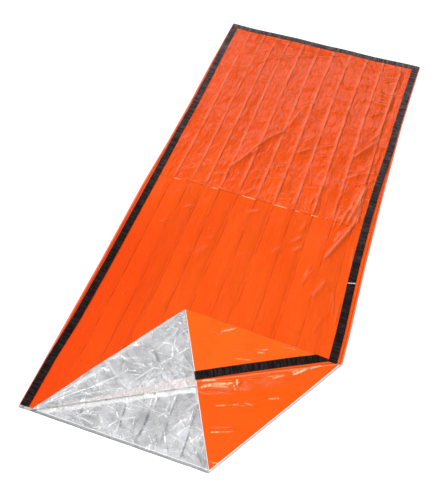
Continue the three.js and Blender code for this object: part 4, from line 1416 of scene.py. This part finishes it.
def orange_relief(uv, creases, runs, opened, beyond_half):
    """Crinkle, rumples, storage creases and the folds placed by hand, from the lowest to the top."""
    crinkle = placed_group(CRINKLE, uv, Size=17.0, Bend=0.06)
    calm = beyond_half * 0.68 + 0.32
    first = ridged(noise_on(uv, 30, 2, (1, 0.25, 1), 40))
    second = ridged(noise_on(uv, 24, 2, (1, 0.3, 1), 65))
    swells = noise_on(uv, 13, 4, (1, 0.6, 1), 30)
    pleat = creases["Height"] * (1.0 - opened) * (beyond_half + 1.0)
    return relief(
        (crinkle["Height"] * calm, 80 * MM),
        (crinkle["Line"] * calm, 0.5 * MM),
        ((first + second) * calm, 4.2 * MM),
        (swells * calm, 9 * MM),
        (pleat, 1.1 * MM),
        (runs, 1.3 * MM),
    )


def orange_film(name, folds, pale, opened_lines, painted_light, rim=None):
    """Glossy orange polyethylene: its base, storage creases, sharp folds, painted highlights, painted light
    and shade at the edges, and fine crinkle.
    """
    material, shader, uv, storage = new_material(name)
    creases = placed_group(CREASES, storage, Width=0.05, Sway=0.07)
    opened, beyond_half = beyond(uv, opened_lines[0]) * beyond(uv, opened_lines[1]), beyond(uv, HALF_LINE)
    left_near = maths("MINIMUM", past(uv, REDDER_SIDE), past(uv, REDDER_NEAR))
    redder = band(left_near, 0, FAR_PAST, 0.35)
    runs = placed_runs(uv, folds)
    colour = painted(
        orange_base(uv, opened, redder, opened_lines[1], painted_light),
        *crease_coats(uv, storage, creases, opened, redder, beyond_half),
        # painted highlights on the crests of the folds
        (ramp(runs * 0.6, [(0.35, BLACK), (1.0, grey(0.3))]), CREST_HIGHLIGHT),
        # painted highlights on the middle fold
        (middle_highlight_mask(uv, storage), MIDDLE_FOLD_HIGHLIGHT),
        # painted highlights on creases of the opened corner
        (run_mask(uv, pale), CREASE_HIGHLIGHT),
        *edge_coats(uv),
        *(fold_coats(uv, rim) if rim else []),
    )
    shader.inputs["Specular IOR Level"].default_value = 0.12
    rough = noise_on(uv, 40, 2) * 0.1 + 0.13
    normal = orange_relief(uv, creases, runs, opened, beyond_half)
    return finish_material(material, shader, colour, rough, normal)


# %% [markdown]
# ## Silver film
# The inside is a thin layer of aluminium: a dull, broken mirror. A fully metallic shader would show only
# the empty room, so most of its light and dark is painted as facets, thin crinkle lines and crests.

# %% Silver colour
# painted reflections of the foil's facets, from dark to light
DARK_FOIL, LIGHT_FOIL = (0.49, 0.49, 0.51), (0.82, 0.82, 0.84)
# painted glints and painted shade on crinkle lines, and painted shade of the storage creases
FOIL_GLINT, FOIL_SHADE, FOIL_CREASE_SHADE = grey(0.97), (0.36, 0.36, 0.38), (0.25, 0.25, 0.27)


def silver_base(uv, storage):
    """Facets as painted reflections, painted glints and painted shade on crinkle lines, and the painted shade
    of the storage creases that shows through.
    """
    moved = vectors("ADD", storage, (-0.115, 0, 0))
    creases = placed_group(CREASES, moved, Width=0.045, Sway=0.2)
    tone = facets(uv, (17, 34, 60)) * 0.65 + noise_on(uv, 26, 5) * 0.35
    light = placed_group(CRINKLE, vectors("ADD", uv, (0.13, 0.4, 0)), Size=11.0, Bend=0.012)["Line"]
    light = light * ramp(noise_on(uv, 17, 2), [(0.42, BLACK), (0.56, grey(0.85))])
    dark = placed_group(CRINKLE, uv, Size=14.0, Bend=0.012)["Line"]
    dark = dark * ramp(noise_on(uv, 21, 2), [(0.46, grey(0.4)), (0.56, BLACK)])
    shade = creases["Line"] * ramp(noise_on(uv, 14, 2), [(0.4, BLACK), (0.6, grey(0.35))])
    colour = painted(
        ramp(tone, [(0.22, DARK_FOIL), (0.78, LIGHT_FOIL)]),
        (light, FOIL_GLINT), (dark, FOIL_SHADE), (shade, FOIL_CREASE_SHADE),
    )
    return colour, creases["Height"] * shade


# %% [markdown]
# ## Silver film: flap and floor
# The flap has a painted reflection on the facet beside its fold. The floor has a painted highlight along the
# same fold and a grey painted shadow along its cut edge at the mouth. Strokes and patches that the eye looks
# for are listed one by one.

# %% Silver coats
# painted highlights on the flap, and strokes of painted shade on it
FLAP_HIGHLIGHTS = [
    (128, 112, 204, 214, 9, 1.6), (204, 240, 300, 410, 14, 0.9), (60, 24, 150, 120, 5, 1.0),
    (300, 410, 352, 492, 8, 0.6), (340, 440, 400, 436, 14, 0.5), (180, 200, 220, 200, 10, 0.8),
]
FLAP_SHADE_STROKES = [
    (64, 28, 76, 52, 3, 0.9), (84, 46, 180, 122, 6, 0.7), (100, 52, 250, 132, 8, 0.4),
    (206, 176, 268, 192, 10, 0.5), (236, 262, 250, 200, 7, 0.5), (236, 244, 300, 244, 5, 0.4),
    (318, 318, 362, 272, 4, 0.5), (304, 190, 340, 240, 5, 0.5), (366, 364, 372, 420, 5, 0.5),
    (390, 330, 430, 366, 5, 0.5), (420, 330, 470, 290, 5, 0.4), (186, 212, 200, 196, 6, 0.9),
    (338, 452, 352, 480, 5, 0.5), (300, 396, 344, 418, 8, 0.3), (250, 230, 300, 212, 6, 0.45),
]
# bluish patches of the floor, and strokes of painted shade on it
PALE_PATCHES = [
    (480, 96, 530, 92, 20, 0.9), (255, 40, 330, 18, 14, 0.7), (430, 20, 560, 14, 8, 0.7),
]
FLOOR_SHADE_STROKES = [
    (308, 116, 312, 74, 5, 1.2), (312, 74, 318, 42, 4, 1.0), (384, 122, 386, 64, 6, 1.4),
    (386, 64, 382, 32, 5, 1.1), (394, 180, 396, 130, 3, 0.6), (448, 212, 447, 118, 4, 0.8),
    (450, 118, 452, 34, 4, 0.7), (518, 208, 520, 110, 4, 0.7), (522, 110, 526, 10, 5, 0.9),
    (186, 66, 187, 42, 4, 1.0), (424, 64, 452, 24, 3, 0.5), (243, 118, 244, 108, 4, 1.2),
    (377, 186, 378, 178, 4, 1.2), (547, 65, 595, 18, 4, 0.7), (300, 60, 340, 44, 10, 0.35),
    (330, 84, 366, 60, 8, 0.4), (196, 40, 240, 46, 8, 0.4), (262, 80, 300, 52, 8, 0.35),
    (498, 190, 540, 90, 8, 0.3), (520, 34, 540, 18, 7, 0.5), (150, 28, 230, 20, 6, 0.5),
]
# a pinkish painted reflection on the flap's facet, painted highlights on the flap, and the floor's bluish
# patches
FACET_REFLECTION, FLAP_HIGHLIGHT, BLUISH = (0.80, 0.74, 0.73), grey(0.95), (0.84, 0.88, 0.93)
# painted shadow along the mouth of the silver floor
MOUTH_SHADOW = (0.47, 0.47, 0.48)
EDGE_BAND = 9.5 * MM


def flap_coats(uv):
    """A pinkish painted reflection on the facet between the flap's fold and the wedge line, and the painted
    highlights.
    """
    facet = maths("MINIMUM", past(uv, TOP_FOLD), past(uv, WEDGE_LINE) * -1.0)
    return [(band(facet, 0, FAR_PAST), FACET_REFLECTION), (run_mask(uv, unfolded(FLAP_HIGHLIGHTS, TOP_FOLD)), FLAP_HIGHLIGHT)]


def floor_coats(uv):
    """A painted highlight as a bright, uneven strip along the upper panel's fold, and the bluish patches."""
    before_fold = (noise_on(uv, 24, 2) * -0.02 + past(uv, FLOOR_LINE)) * -1.0
    return [(band(before_fold, -0.02, 0.029, 4 * MM), FOIL_GLINT), (run_mask(uv, PALE_PATCHES), BLUISH)]


def mouth_coats(uv):
    """A painted highlight line behind the cut edge at the mouth, and a painted shadow as a grey band at the
    edge itself.
    """
    distance = past(uv, MOUTH_LINE)
    return [
        (band(distance, OUTSIDE, EDGE_BAND + 2.5 * MM), FOIL_GLINT),
        (band(distance, OUTSIDE, EDGE_BAND - 1 * MM), MOUTH_SHADOW),
    ]


print("strokes of the silver:", len(FLAP_SHADE_STROKES) + len(FLOOR_SHADE_STROKES))

# %% [markdown]
# ## Silver film: put together
# Both silver sides share their facets, strokes, crests and relief; only their own coats differ. So one
# function makes both and takes the coats as functions.

# %% Silver film
# the colour of the strokes of painted shade
STROKE_SHADE = (0.25, 0.25, 0.28)


def silver_film(name, folds, strokes, own_coats, top_coats=None):
    """Aluminised film: large dull facets, folds with painted highlights on their crests, strokes of painted
    shade and its own coats.
    """
    material, shader, uv, storage = new_material(name)
    base, pleat = silver_base(uv, storage)
    # the crests are evened: narrower than in the mesh and more alike in height
    even = [(*row[:4], 0.7 * row[4], 0.7 * row[5], 1.3 + 0.25 * row[6]) for row in folds]
    height = placed_runs(uv, even, "MAXIMUM")
    colour = painted(
        base,
        *own_coats(uv),
        (run_mask(uv, strokes), STROKE_SHADE),
        # painted highlights on the crests of the folds
        (ramp(height * 0.5, [(0.36, BLACK), (0.72, grey(0.95))]), FOIL_GLINT),
        *(top_coats(uv) if top_coats else []),
    )
    crinkle = placed_group(CRINKLE, uv, Size=12.0, Bend=0.1)
    normal = relief(
        (crinkle["Height"], 200 * MM),
        (crinkle["Line"], 0.5 * MM),
        (ridged(noise_on(uv, 30, 4)), 3 * MM),
        (pleat, 1.4 * MM),
        (height, 0.6 * MM),
    )
    shader.inputs["Metallic"].default_value = 0.3
    rough = noise_on(uv, 60, 2) * 0.15 + 0.25
    return finish_material(material, shader, colour, rough, normal)


# %% [markdown]
# ## Black tape
# The tape is woven and black, with a dull shine. Far from the camera it mirrors the low light and looks
# grey, so a painted sheen makes it lighter along the bag. Small wrinkles run across it, where it was pressed
# down, with painted highlights on them.

# %% Black tape
# dark and light threads, and the painted highlights on the wrinkles, near the camera and far from it, where a
# painted sheen lightens them
NEAR_TAPE = ((0.006, 0.002, 0.002), (0.014, 0.006, 0.006))
FAR_TAPE_SHEEN = ((0.027, 0.017, 0.017), (0.052, 0.038, 0.040))
NEAR_WRINKLE_HIGHLIGHT, FAR_WRINKLE_HIGHLIGHT = (0.06, 0.045, 0.045), (0.20, 0.17, 0.18)
# a pale line across the right tape
TAPE_PALE_RUN, TAPE_PALE_TONE = [(858, 806, 914, 822, 2.6, 2.5)], (0.8, 0.74, 0.72)


def black_tape(name, sheen_from, sheen_to):
    """Black woven tape: crossed threads, small wrinkles across it with painted highlights, and a painted
    sheen past a place.
    """
    material, shader, uv, _ = new_material(name)
    tone = noise_on(uv, 50, 3, (1, 0.5, 1))
    cross = ridged(noise_on(uv, 110, 2, (0.12, 1, 1)))
    sheen_share = rising(component(uv, "Y"), sheen_from, sheen_to)
    near, far = [ramp(tone, [(0.35, low), (0.7, high)]) for low, high in (NEAR_TAPE, FAR_TAPE_SHEEN)]
    line = ramp(cross, [(0.0, WHITE), (0.14, BLACK)])
    colour = painted(
        # painted sheen past a place
        near, (sheen_share, far),
        # painted highlights on the wrinkles
        (line * (sheen_share * 0.3 + 0.4), painted(NEAR_WRINKLE_HIGHLIGHT, (sheen_share, FAR_WRINKLE_HIGHLIGHT))),
        (run_mask(uv, TAPE_PALE_RUN), TAPE_PALE_TONE),
    )
    shader.inputs["Specular IOR Level"].default_value = 0.1
    rough = noise_on(uv, 90, 2) * 0.2 + 0.3
    normal = relief((noise_on(uv, 60, 3, (0.3, 1, 1)), 4 * MM), (cross, 4 * MM))
    return finish_material(material, shader, colour, rough, normal)


# %% [markdown]
# ## The six finishes
# Each panel has an orange and a silver side. What lies folded over in the photograph is mirrored back to
# the cut first, so every crease sits on the film itself.

# %% Make the materials
# painted highlights on creases of the opened corner: on the lower panel's part, then past the tape on the
# upper panel's
KITE_HIGHLIGHTS = [
    (766, 388, 810, 426, 4.5, 1.5), (809, 423, 848, 454, 4, 1.1), (762, 394, 780, 412, 3, 0.8),
    (708, 353, 745, 380, 5, 0.5), (499, 268, 545, 289, 4.5, 1.4), (505, 245, 535, 269, 5, 1.4),
    (535, 269, 598, 296, 4.5, 1.5), (604, 314, 612, 290, 4, 1.6), (600, 292, 610, 276, 3, 0.9),
    (690, 352, 730, 373, 3, 0.4), (567, 206, 598, 218, 2.6, 1.1), (618, 227, 634, 237, 2.4, 0.9),
    (650, 246, 676, 249, 2.4, 0.6), (715, 284, 752, 299, 3, 0.9), (582, 120, 610, 131, 3, 1.2),
    (610, 131, 648, 146, 2.4, 0.5), (617, 33, 640, 38, 3, 0.9), (516, 258, 590, 280, 6, 0.5),
]
KITE_FAR_HIGHLIGHTS = [
    (500, 456, 545, 486, 3, 1.0), (636, 423, 662, 431, 3, 0.8), (650, 436, 668, 447, 3, 0.6),
    (575, 376, 630, 392, 3, 0.4), (700, 410, 740, 430, 3, 0.4),
]
KITE_FOLDED = (TOP_FOLD, KITE_FOLD)
UPPER_RUNS = crisp(FINE_FOLDS, 10, 0.9) + crisp(SIDE_FOLDS, 8, 0) + NEAR_FOLDS
UPPER_RUNS += unfolded(KITE_FAR_FOLDS, *KITE_FOLDED)
UPPER_SIDES = [
    orange_film("upper_orange", UPPER_RUNS, unfolded(KITE_FAR_HIGHLIGHTS, *KITE_FOLDED),
                (TOP_FOLD, FOLDED_KITE_LINE), UPPER_CORNER_LIGHT),
    silver_film("upper_silver", unfolded(FLAP_FOLDS, TOP_FOLD), unfolded(FLAP_SHADE_STROKES, TOP_FOLD), flap_coats),
]
LOWER_SIDES = [
    orange_film("lower_orange", unfolded(KITE_NEAR_FOLDS, LOWER_FOLD), unfolded(KITE_HIGHLIGHTS, LOWER_FOLD),
                (LOWER_FOLD, LOWER_FOLD), LOWER_CORNER_LIGHT, LOWER_FOLD),
    silver_film("lower_silver", FLOOR_FOLDS, FLOOR_SHADE_STROKES, floor_coats, mouth_coats),
]
SIDE_BLACK, FOOT_BLACK = black_tape("side_tape_cloth", 0.8, 1.9), black_tape("foot_tape_cloth", -2, -1)

# %% [markdown]
# ## Upper panel
# It lies between the laps of the lower panel and is folded back twice at the mouth. Its columns lean
# with the joints at both sides.

# %% Upper panel
FILM = 0.8 * MM
UPPER_SPACING = 7.8 * MM
LEFT_LIMIT, RIGHT_LIMIT = 52 * MM, 842 * MM
LEFT_SHARES, RIGHT_SHARES = np.linspace(0, 1, 4)[:-1, None], np.linspace(1, 0, 6)[1:, None]


def upper_grid():
    """Rows with the folds, columns with the creases and the joints."""
    near, far = crease_columns(UPPER_SPACING, LEFT_LIMIT, RIGHT_LIMIT)
    a, b = len(LEFT_SHARES), len(LEFT_SHARES) + len(near)

    def places(y):
        x = np.empty_like(y)
        low, high = left_joint(y) + JOINT_GAP / 2, BAG_WIDTH - right_joint(y) - JOINT_GAP / 2
        x[:a] = mix(low[:a], LEFT_LIMIT, LEFT_SHARES)
        x[a:b] = mix(near[:, None], far[:, None], past_half(y)[a:b])
        x[b:] = mix(high[b:], RIGHT_LIMIT, RIGHT_SHARES)
        return x

    return settle(places, b + len(RIGHT_SHARES), UPPER_BLOCKS)


upper_cut = upper_grid()
upper_panel = cloth_object("upper_panel", [(upper_side(*upper_cut), *upper_cut)], False, FILM, UPPER_SIDES)
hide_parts("top_panel")

# %% [markdown]
# ## Lower panel
# One sheet too, cut wider than the bag. Its laps wrap round the long edges. Beyond the corner's point the
# wrap is open, so the sheet is three grids that share an edge.

# %% Main grid and right wrap
LOWER_SPACING, FIRST_COLUMN_X = 9 * MM, 14 * MM
WRAP_TURNS = np.linspace(-1, 1, 9)[:, None] * SIDE_ROLL
LAP_SHARES = np.array([1, 0.66, 0.33])[:, None]
LAPS, WRAPS = len(LAP_SHARES), len(LAP_SHARES) + len(WRAP_TURNS)
RIGHT_EDGE_X = BAG_WIDTH - SIDE_ROLL
RIGHT_EDGE_Y = lay_rows(np.full((1, block_rows(LOWER_BLOCKS)), RIGHT_EDGE_X), LOWER_BLOCKS)[0]


def main_grid():
    """From the end of the left lap, round the left edge and across the bag to the right edge."""
    near, far = crease_columns(LOWER_SPACING, FIRST_COLUMN_X, RIGHT_EDGE_X)

    def places(y):
        x = np.empty_like(y)
        end = left_joint(y) - JOINT_GAP / 2
        x[:LAPS] = mix(-SIDE_ROLL, -end[:LAPS], LAP_SHARES)
        x[LAPS:WRAPS] = WRAP_TURNS
        x[WRAPS:] = mix(near[:, None], far[:, None], past_half(y)[WRAPS:])
        return x

    return settle(places, WRAPS + len(near), LOWER_BLOCKS)


def wrap_grid():
    """Round the right edge to the end of the right lap, beyond the corner's point."""
    first = np.searchsorted(RIGHT_EDGE_Y, SLIT_Y - TINY)
    y = np.tile(RIGHT_EDGE_Y[first:], (WRAPS, 1))
    x = np.empty_like(y)
    end = BAG_WIDTH + right_joint(y) - JOINT_GAP / 2
    x[:-LAPS] = BAG_WIDTH + WRAP_TURNS
    x[-LAPS:] = mix(BAG_WIDTH + SIDE_ROLL, end[-LAPS:], LAP_SHARES[::-1])
    return x, y


print("rows of the right wrap:", wrap_grid()[1].shape[1])

# %% [markdown]
# ## The lap of the opened corner
# The lap narrows towards the corner's point, where the slit between corner and wrap starts. Then the
# three grids become one mesh, and points that meet are merged.

# %% The opened corner's lap, and the panel
KITE_LAP_SHARES = np.array([0, 0.15, 0.3, 0.5, 0.75, 1])[:, None]
KITE_LAP_LEAN = 0.08


def kite_grid():
    """The lap of the opened corner, narrowing to the corner's point."""
    rows = RIGHT_EDGE_Y[:block_rows(LOWER_BLOCKS[:2])]
    y = np.tile(rows, (len(KITE_LAP_SHARES), 1))
    for _ in range(SETTLE_ROUNDS):
        x = mix(RIGHT_EDGE_X, BAG_WIDTH + right_joint(y) - JOINT_GAP / 2, KITE_LAP_SHARES)
        top = rows[-1] - (x - RIGHT_EDGE_X) * (1 / KITE_SLOPE + KITE_LAP_LEAN)
        y = rows / rows[-1] * top
    return x, y


lower_cuts = ((main_grid(), True), (wrap_grid(), False), (kite_grid(), True))
lower_panel = cloth_object(
    "lower_panel", [(lower_side(*cut, on_kite), *cut) for cut, on_kite in lower_cuts],
    True, FILM, LOWER_SIDES, 1,
)
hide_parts("bottom_panel")

# %% [markdown]
# ## Side tapes
# A tape has no folds of its own: it lies on the film and goes where the film goes. So its points are the
# film's points, lifted along the film's own normals.

# %% Side tapes
TAPE = 0.5 * MM
TAPE_LIFT = 1.25 * MM
TAPE_SHARES = np.linspace(0, 1, 9)[:, None]
NORMAL_STEP = 0.2 * MM
NO_AREA = 1e-12
LEFT_TAPE_START = 8 * MM


def lifted(place, x, y, height):
    """Points of a folded sheet moved along its normal, which comes from two small steps on the cut."""
    across = place(x + NORMAL_STEP, y) - place(x - NORMAL_STEP, y)
    along = place(x, y + NORMAL_STEP) - place(x, np.maximum(y - NORMAL_STEP, 0))
    normal = np.cross(across, along)
    normal /= np.maximum(np.linalg.norm(normal, axis=-1, keepdims=True), NO_AREA)
    return place(x, y) + normal * height[..., None]


def side_tape(name, start, outer_x):
    """A strip between two lines of the upper side; outer_x gives x across it from y."""
    x, y = settle(outer_x, len(TAPE_SHARES), TAPE_BLOCKS)
    y = np.maximum(y, start)
    wrinkle = 0.35 * MM * soft_noise(x, y + 0.3 * x, 0.03, 0.011, 51)
    wrinkle = wrinkle + 0.2 * MM * soft_noise(x, y, 0.012, 0.03, 53)
    puckered = 0.5 * MM * np.abs(soft_noise(x, y - 0.4 * x, 0.04, 0.02, 55))
    points = lifted(upper_side, x, y, TAPE_LIFT + wrinkle + puckered)
    return cloth_object(name, [(points, x, y)], False, TAPE, [SIDE_BLACK])


left_tape = side_tape(
    "left_tape", LEFT_TAPE_START, lambda y: look_up(LEFT_TAPE_INSET, y) + TAPE_SHARES * TAPE_WIDTH
)
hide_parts("tape_left")
right_tape = side_tape(
    "right_tape", 0, lambda y: BAG_WIDTH - look_up(RIGHT_TAPE_INSET, y) - (1 - TAPE_SHARES) * TAPE_WIDTH
)
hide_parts("tape_right")

# %% [markdown]
# ## Foot tape
# This one is folded over the foot edge and holds both panels, so it can't follow one sheet. It is a
# profile carried along the foot: over the top, round the edge and under the floor.

# %% Foot tape
FOOT_BEND = 1.6 * MM
FOOT_END_GAP = 0.35 * MM
FOOT_COLUMNS, FOOT_ROWS = 181, 9


def foot_tape_points():
    """A U carried along the foot: over the upper panel, round a half ellipse and under the lower one."""
    columns = np.linspace(SIDE_ROLL + FOOT_END_GAP, BAG_WIDTH - SIDE_ROLL - FOOT_END_GAP, FOOT_COLUMNS)
    edge = BAG_LENGTH - FOOT_SETBACK / 2
    x, over_y = np.meshgrid(columns, np.linspace(FOOT_TAPE_Y, edge, FOOT_ROWS), indexing="ij")
    under_y = over_y[:, ::-1]
    turn = np.tile(np.linspace(0, np.pi, FOOT_ROWS)[1:-1], (FOOT_COLUMNS, 1))
    drift = 1.6 * MM * soft_noise(x, 0 * x, 0.08, 1, 61) * (1 - np.linspace(0, 1, FOOT_ROWS))
    pucker = 0.4 * MM * soft_noise(x, over_y, 0.02, 0.015, 63)
    over = top_layer(x, over_y) + TAPE_LIFT + np.abs(pucker)
    under = floor_layer(under_y) - TAPE_LIFT
    round_y = edge + FOOT_BEND * np.sin(turn)
    round_z = mix(under[:, :1], over[:, -1:], (1 + np.cos(turn)) / 2)
    y = np.concatenate([over_y + drift, round_y, under_y], axis=1)
    z = np.concatenate([over, round_z, under], axis=1)
    flat = np.concatenate([over_y, edge + 2 * FOOT_BEND * turn / np.pi, 2 * BAG_LENGTH - under_y], axis=1)
    x = np.tile(columns[:, None], (1, y.shape[1]))
    return unevenly(x, y, z), flat, x


foot_tape = cloth_object("foot_tape", [foot_tape_points()], False, TAPE, [FOOT_BLACK])
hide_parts("tape_foot")

# %% [markdown]
# ## The sheets
# The five pieces of cloth, by name.

# %% Sheets
print("sheets:", [piece.name for piece in (lower_panel, upper_panel, left_tape, right_tape, foot_tape)])

# %% [markdown]
# ## Ground
# The photograph is white all round the bag. A plain white sky would leave the bag floating, so the ground
# is a wide pale square that glows a little: it looks white and still catches the bag's soft shadow.

# %% Ground
GROUND_HALF = 30
GROUND_GREY, GROUND_GLOW = 0.6, 0.62


def ground():
    """A wide pale square under the bag."""
    corners = [(x * GROUND_HALF, y * GROUND_HALF, 0) for x, y in ((-1, -1), (1, -1), (1, 1), (-1, 1))]
    mesh = bpy.data.meshes.new("ground")
    mesh.from_pydata(corners, [], [(0, 1, 2, 3)])
    material = bpy.data.materials.new("ground")
    material.use_nodes = True
    shader = material.node_tree.nodes["Principled BSDF"]
    shader.inputs["Base Color"].default_value = (*grey(GROUND_GREY), 1)
    shader.inputs["Roughness"].default_value = 0.9
    shader.inputs["Specular IOR Level"].default_value = 0.0
    shader.inputs["Emission Color"].default_value = (1, 1, 1, 1)
    shader.inputs["Emission Strength"].default_value = GROUND_GLOW
    mesh.materials.append(material)
    plane = bpy.data.objects.new("ground", mesh)
    bpy.context.scene.collection.objects.link(plane)
    print("ground, m:", 2 * GROUND_HALF)


ground()

# %% [markdown]
# ## Light
# Big soft lamps light the bag. The one behind the foot lies low, so the far half of the film mirrors it
# and looks paler, as gloss does at a flat angle. A small one gives the near film its glints.

# %% Sky and lamps
# name, place, target, width and height, watts
LAMPS = (
    ("behind_foot", (-0.4, 4.2, 2.6), (0, 0.9, 0), (5.0, 1.2), 62),
    ("left_window", (-12, -0.7, 5.8), (0, -0.2, 0), (6.1, 4.2), 1540),
    ("over_head", (0.5, -0.7, 4.2), (0.5, -0.7, 0), (4.0, 4.0), 26),
    ("glint", (0.6, -0.7, 3.8), (0, -0.3, 0), (0.25, 0.25), 14),
    ("near_fill", (2.2, -2.9, 2.8), (0.2, -1.0, 0), (1.2, 1.2), 70),
)
SKY_STRENGTH = 0.16


def lamp(name, place, target, size, power):
    """A rectangular soft light aimed at a place."""
    data = bpy.data.lights.new(name, "AREA")
    data.shape = "RECTANGLE"
    data.size, data.size_y = size
    data.energy = power
    light = bpy.data.objects.new(name, data)
    way = Vector(target) - Vector(place)
    light.matrix_world = Matrix.Translation(place) @ way.to_track_quat("-Z", "Y").to_matrix().to_4x4()
    bpy.context.scene.collection.objects.link(light)


for row in LAMPS:
    lamp(*row)
world = bpy.data.worlds.new("studio")
world.use_nodes = True
world.node_tree.nodes["Background"].inputs["Color"].default_value = (1, 1, 1, 1)
world.node_tree.nodes["Background"].inputs["Strength"].default_value = SKY_STRENGTH
bpy.context.scene.world = world
bpy.context.scene.view_settings.view_transform = "Standard"
print("lamps:", len(LAMPS))
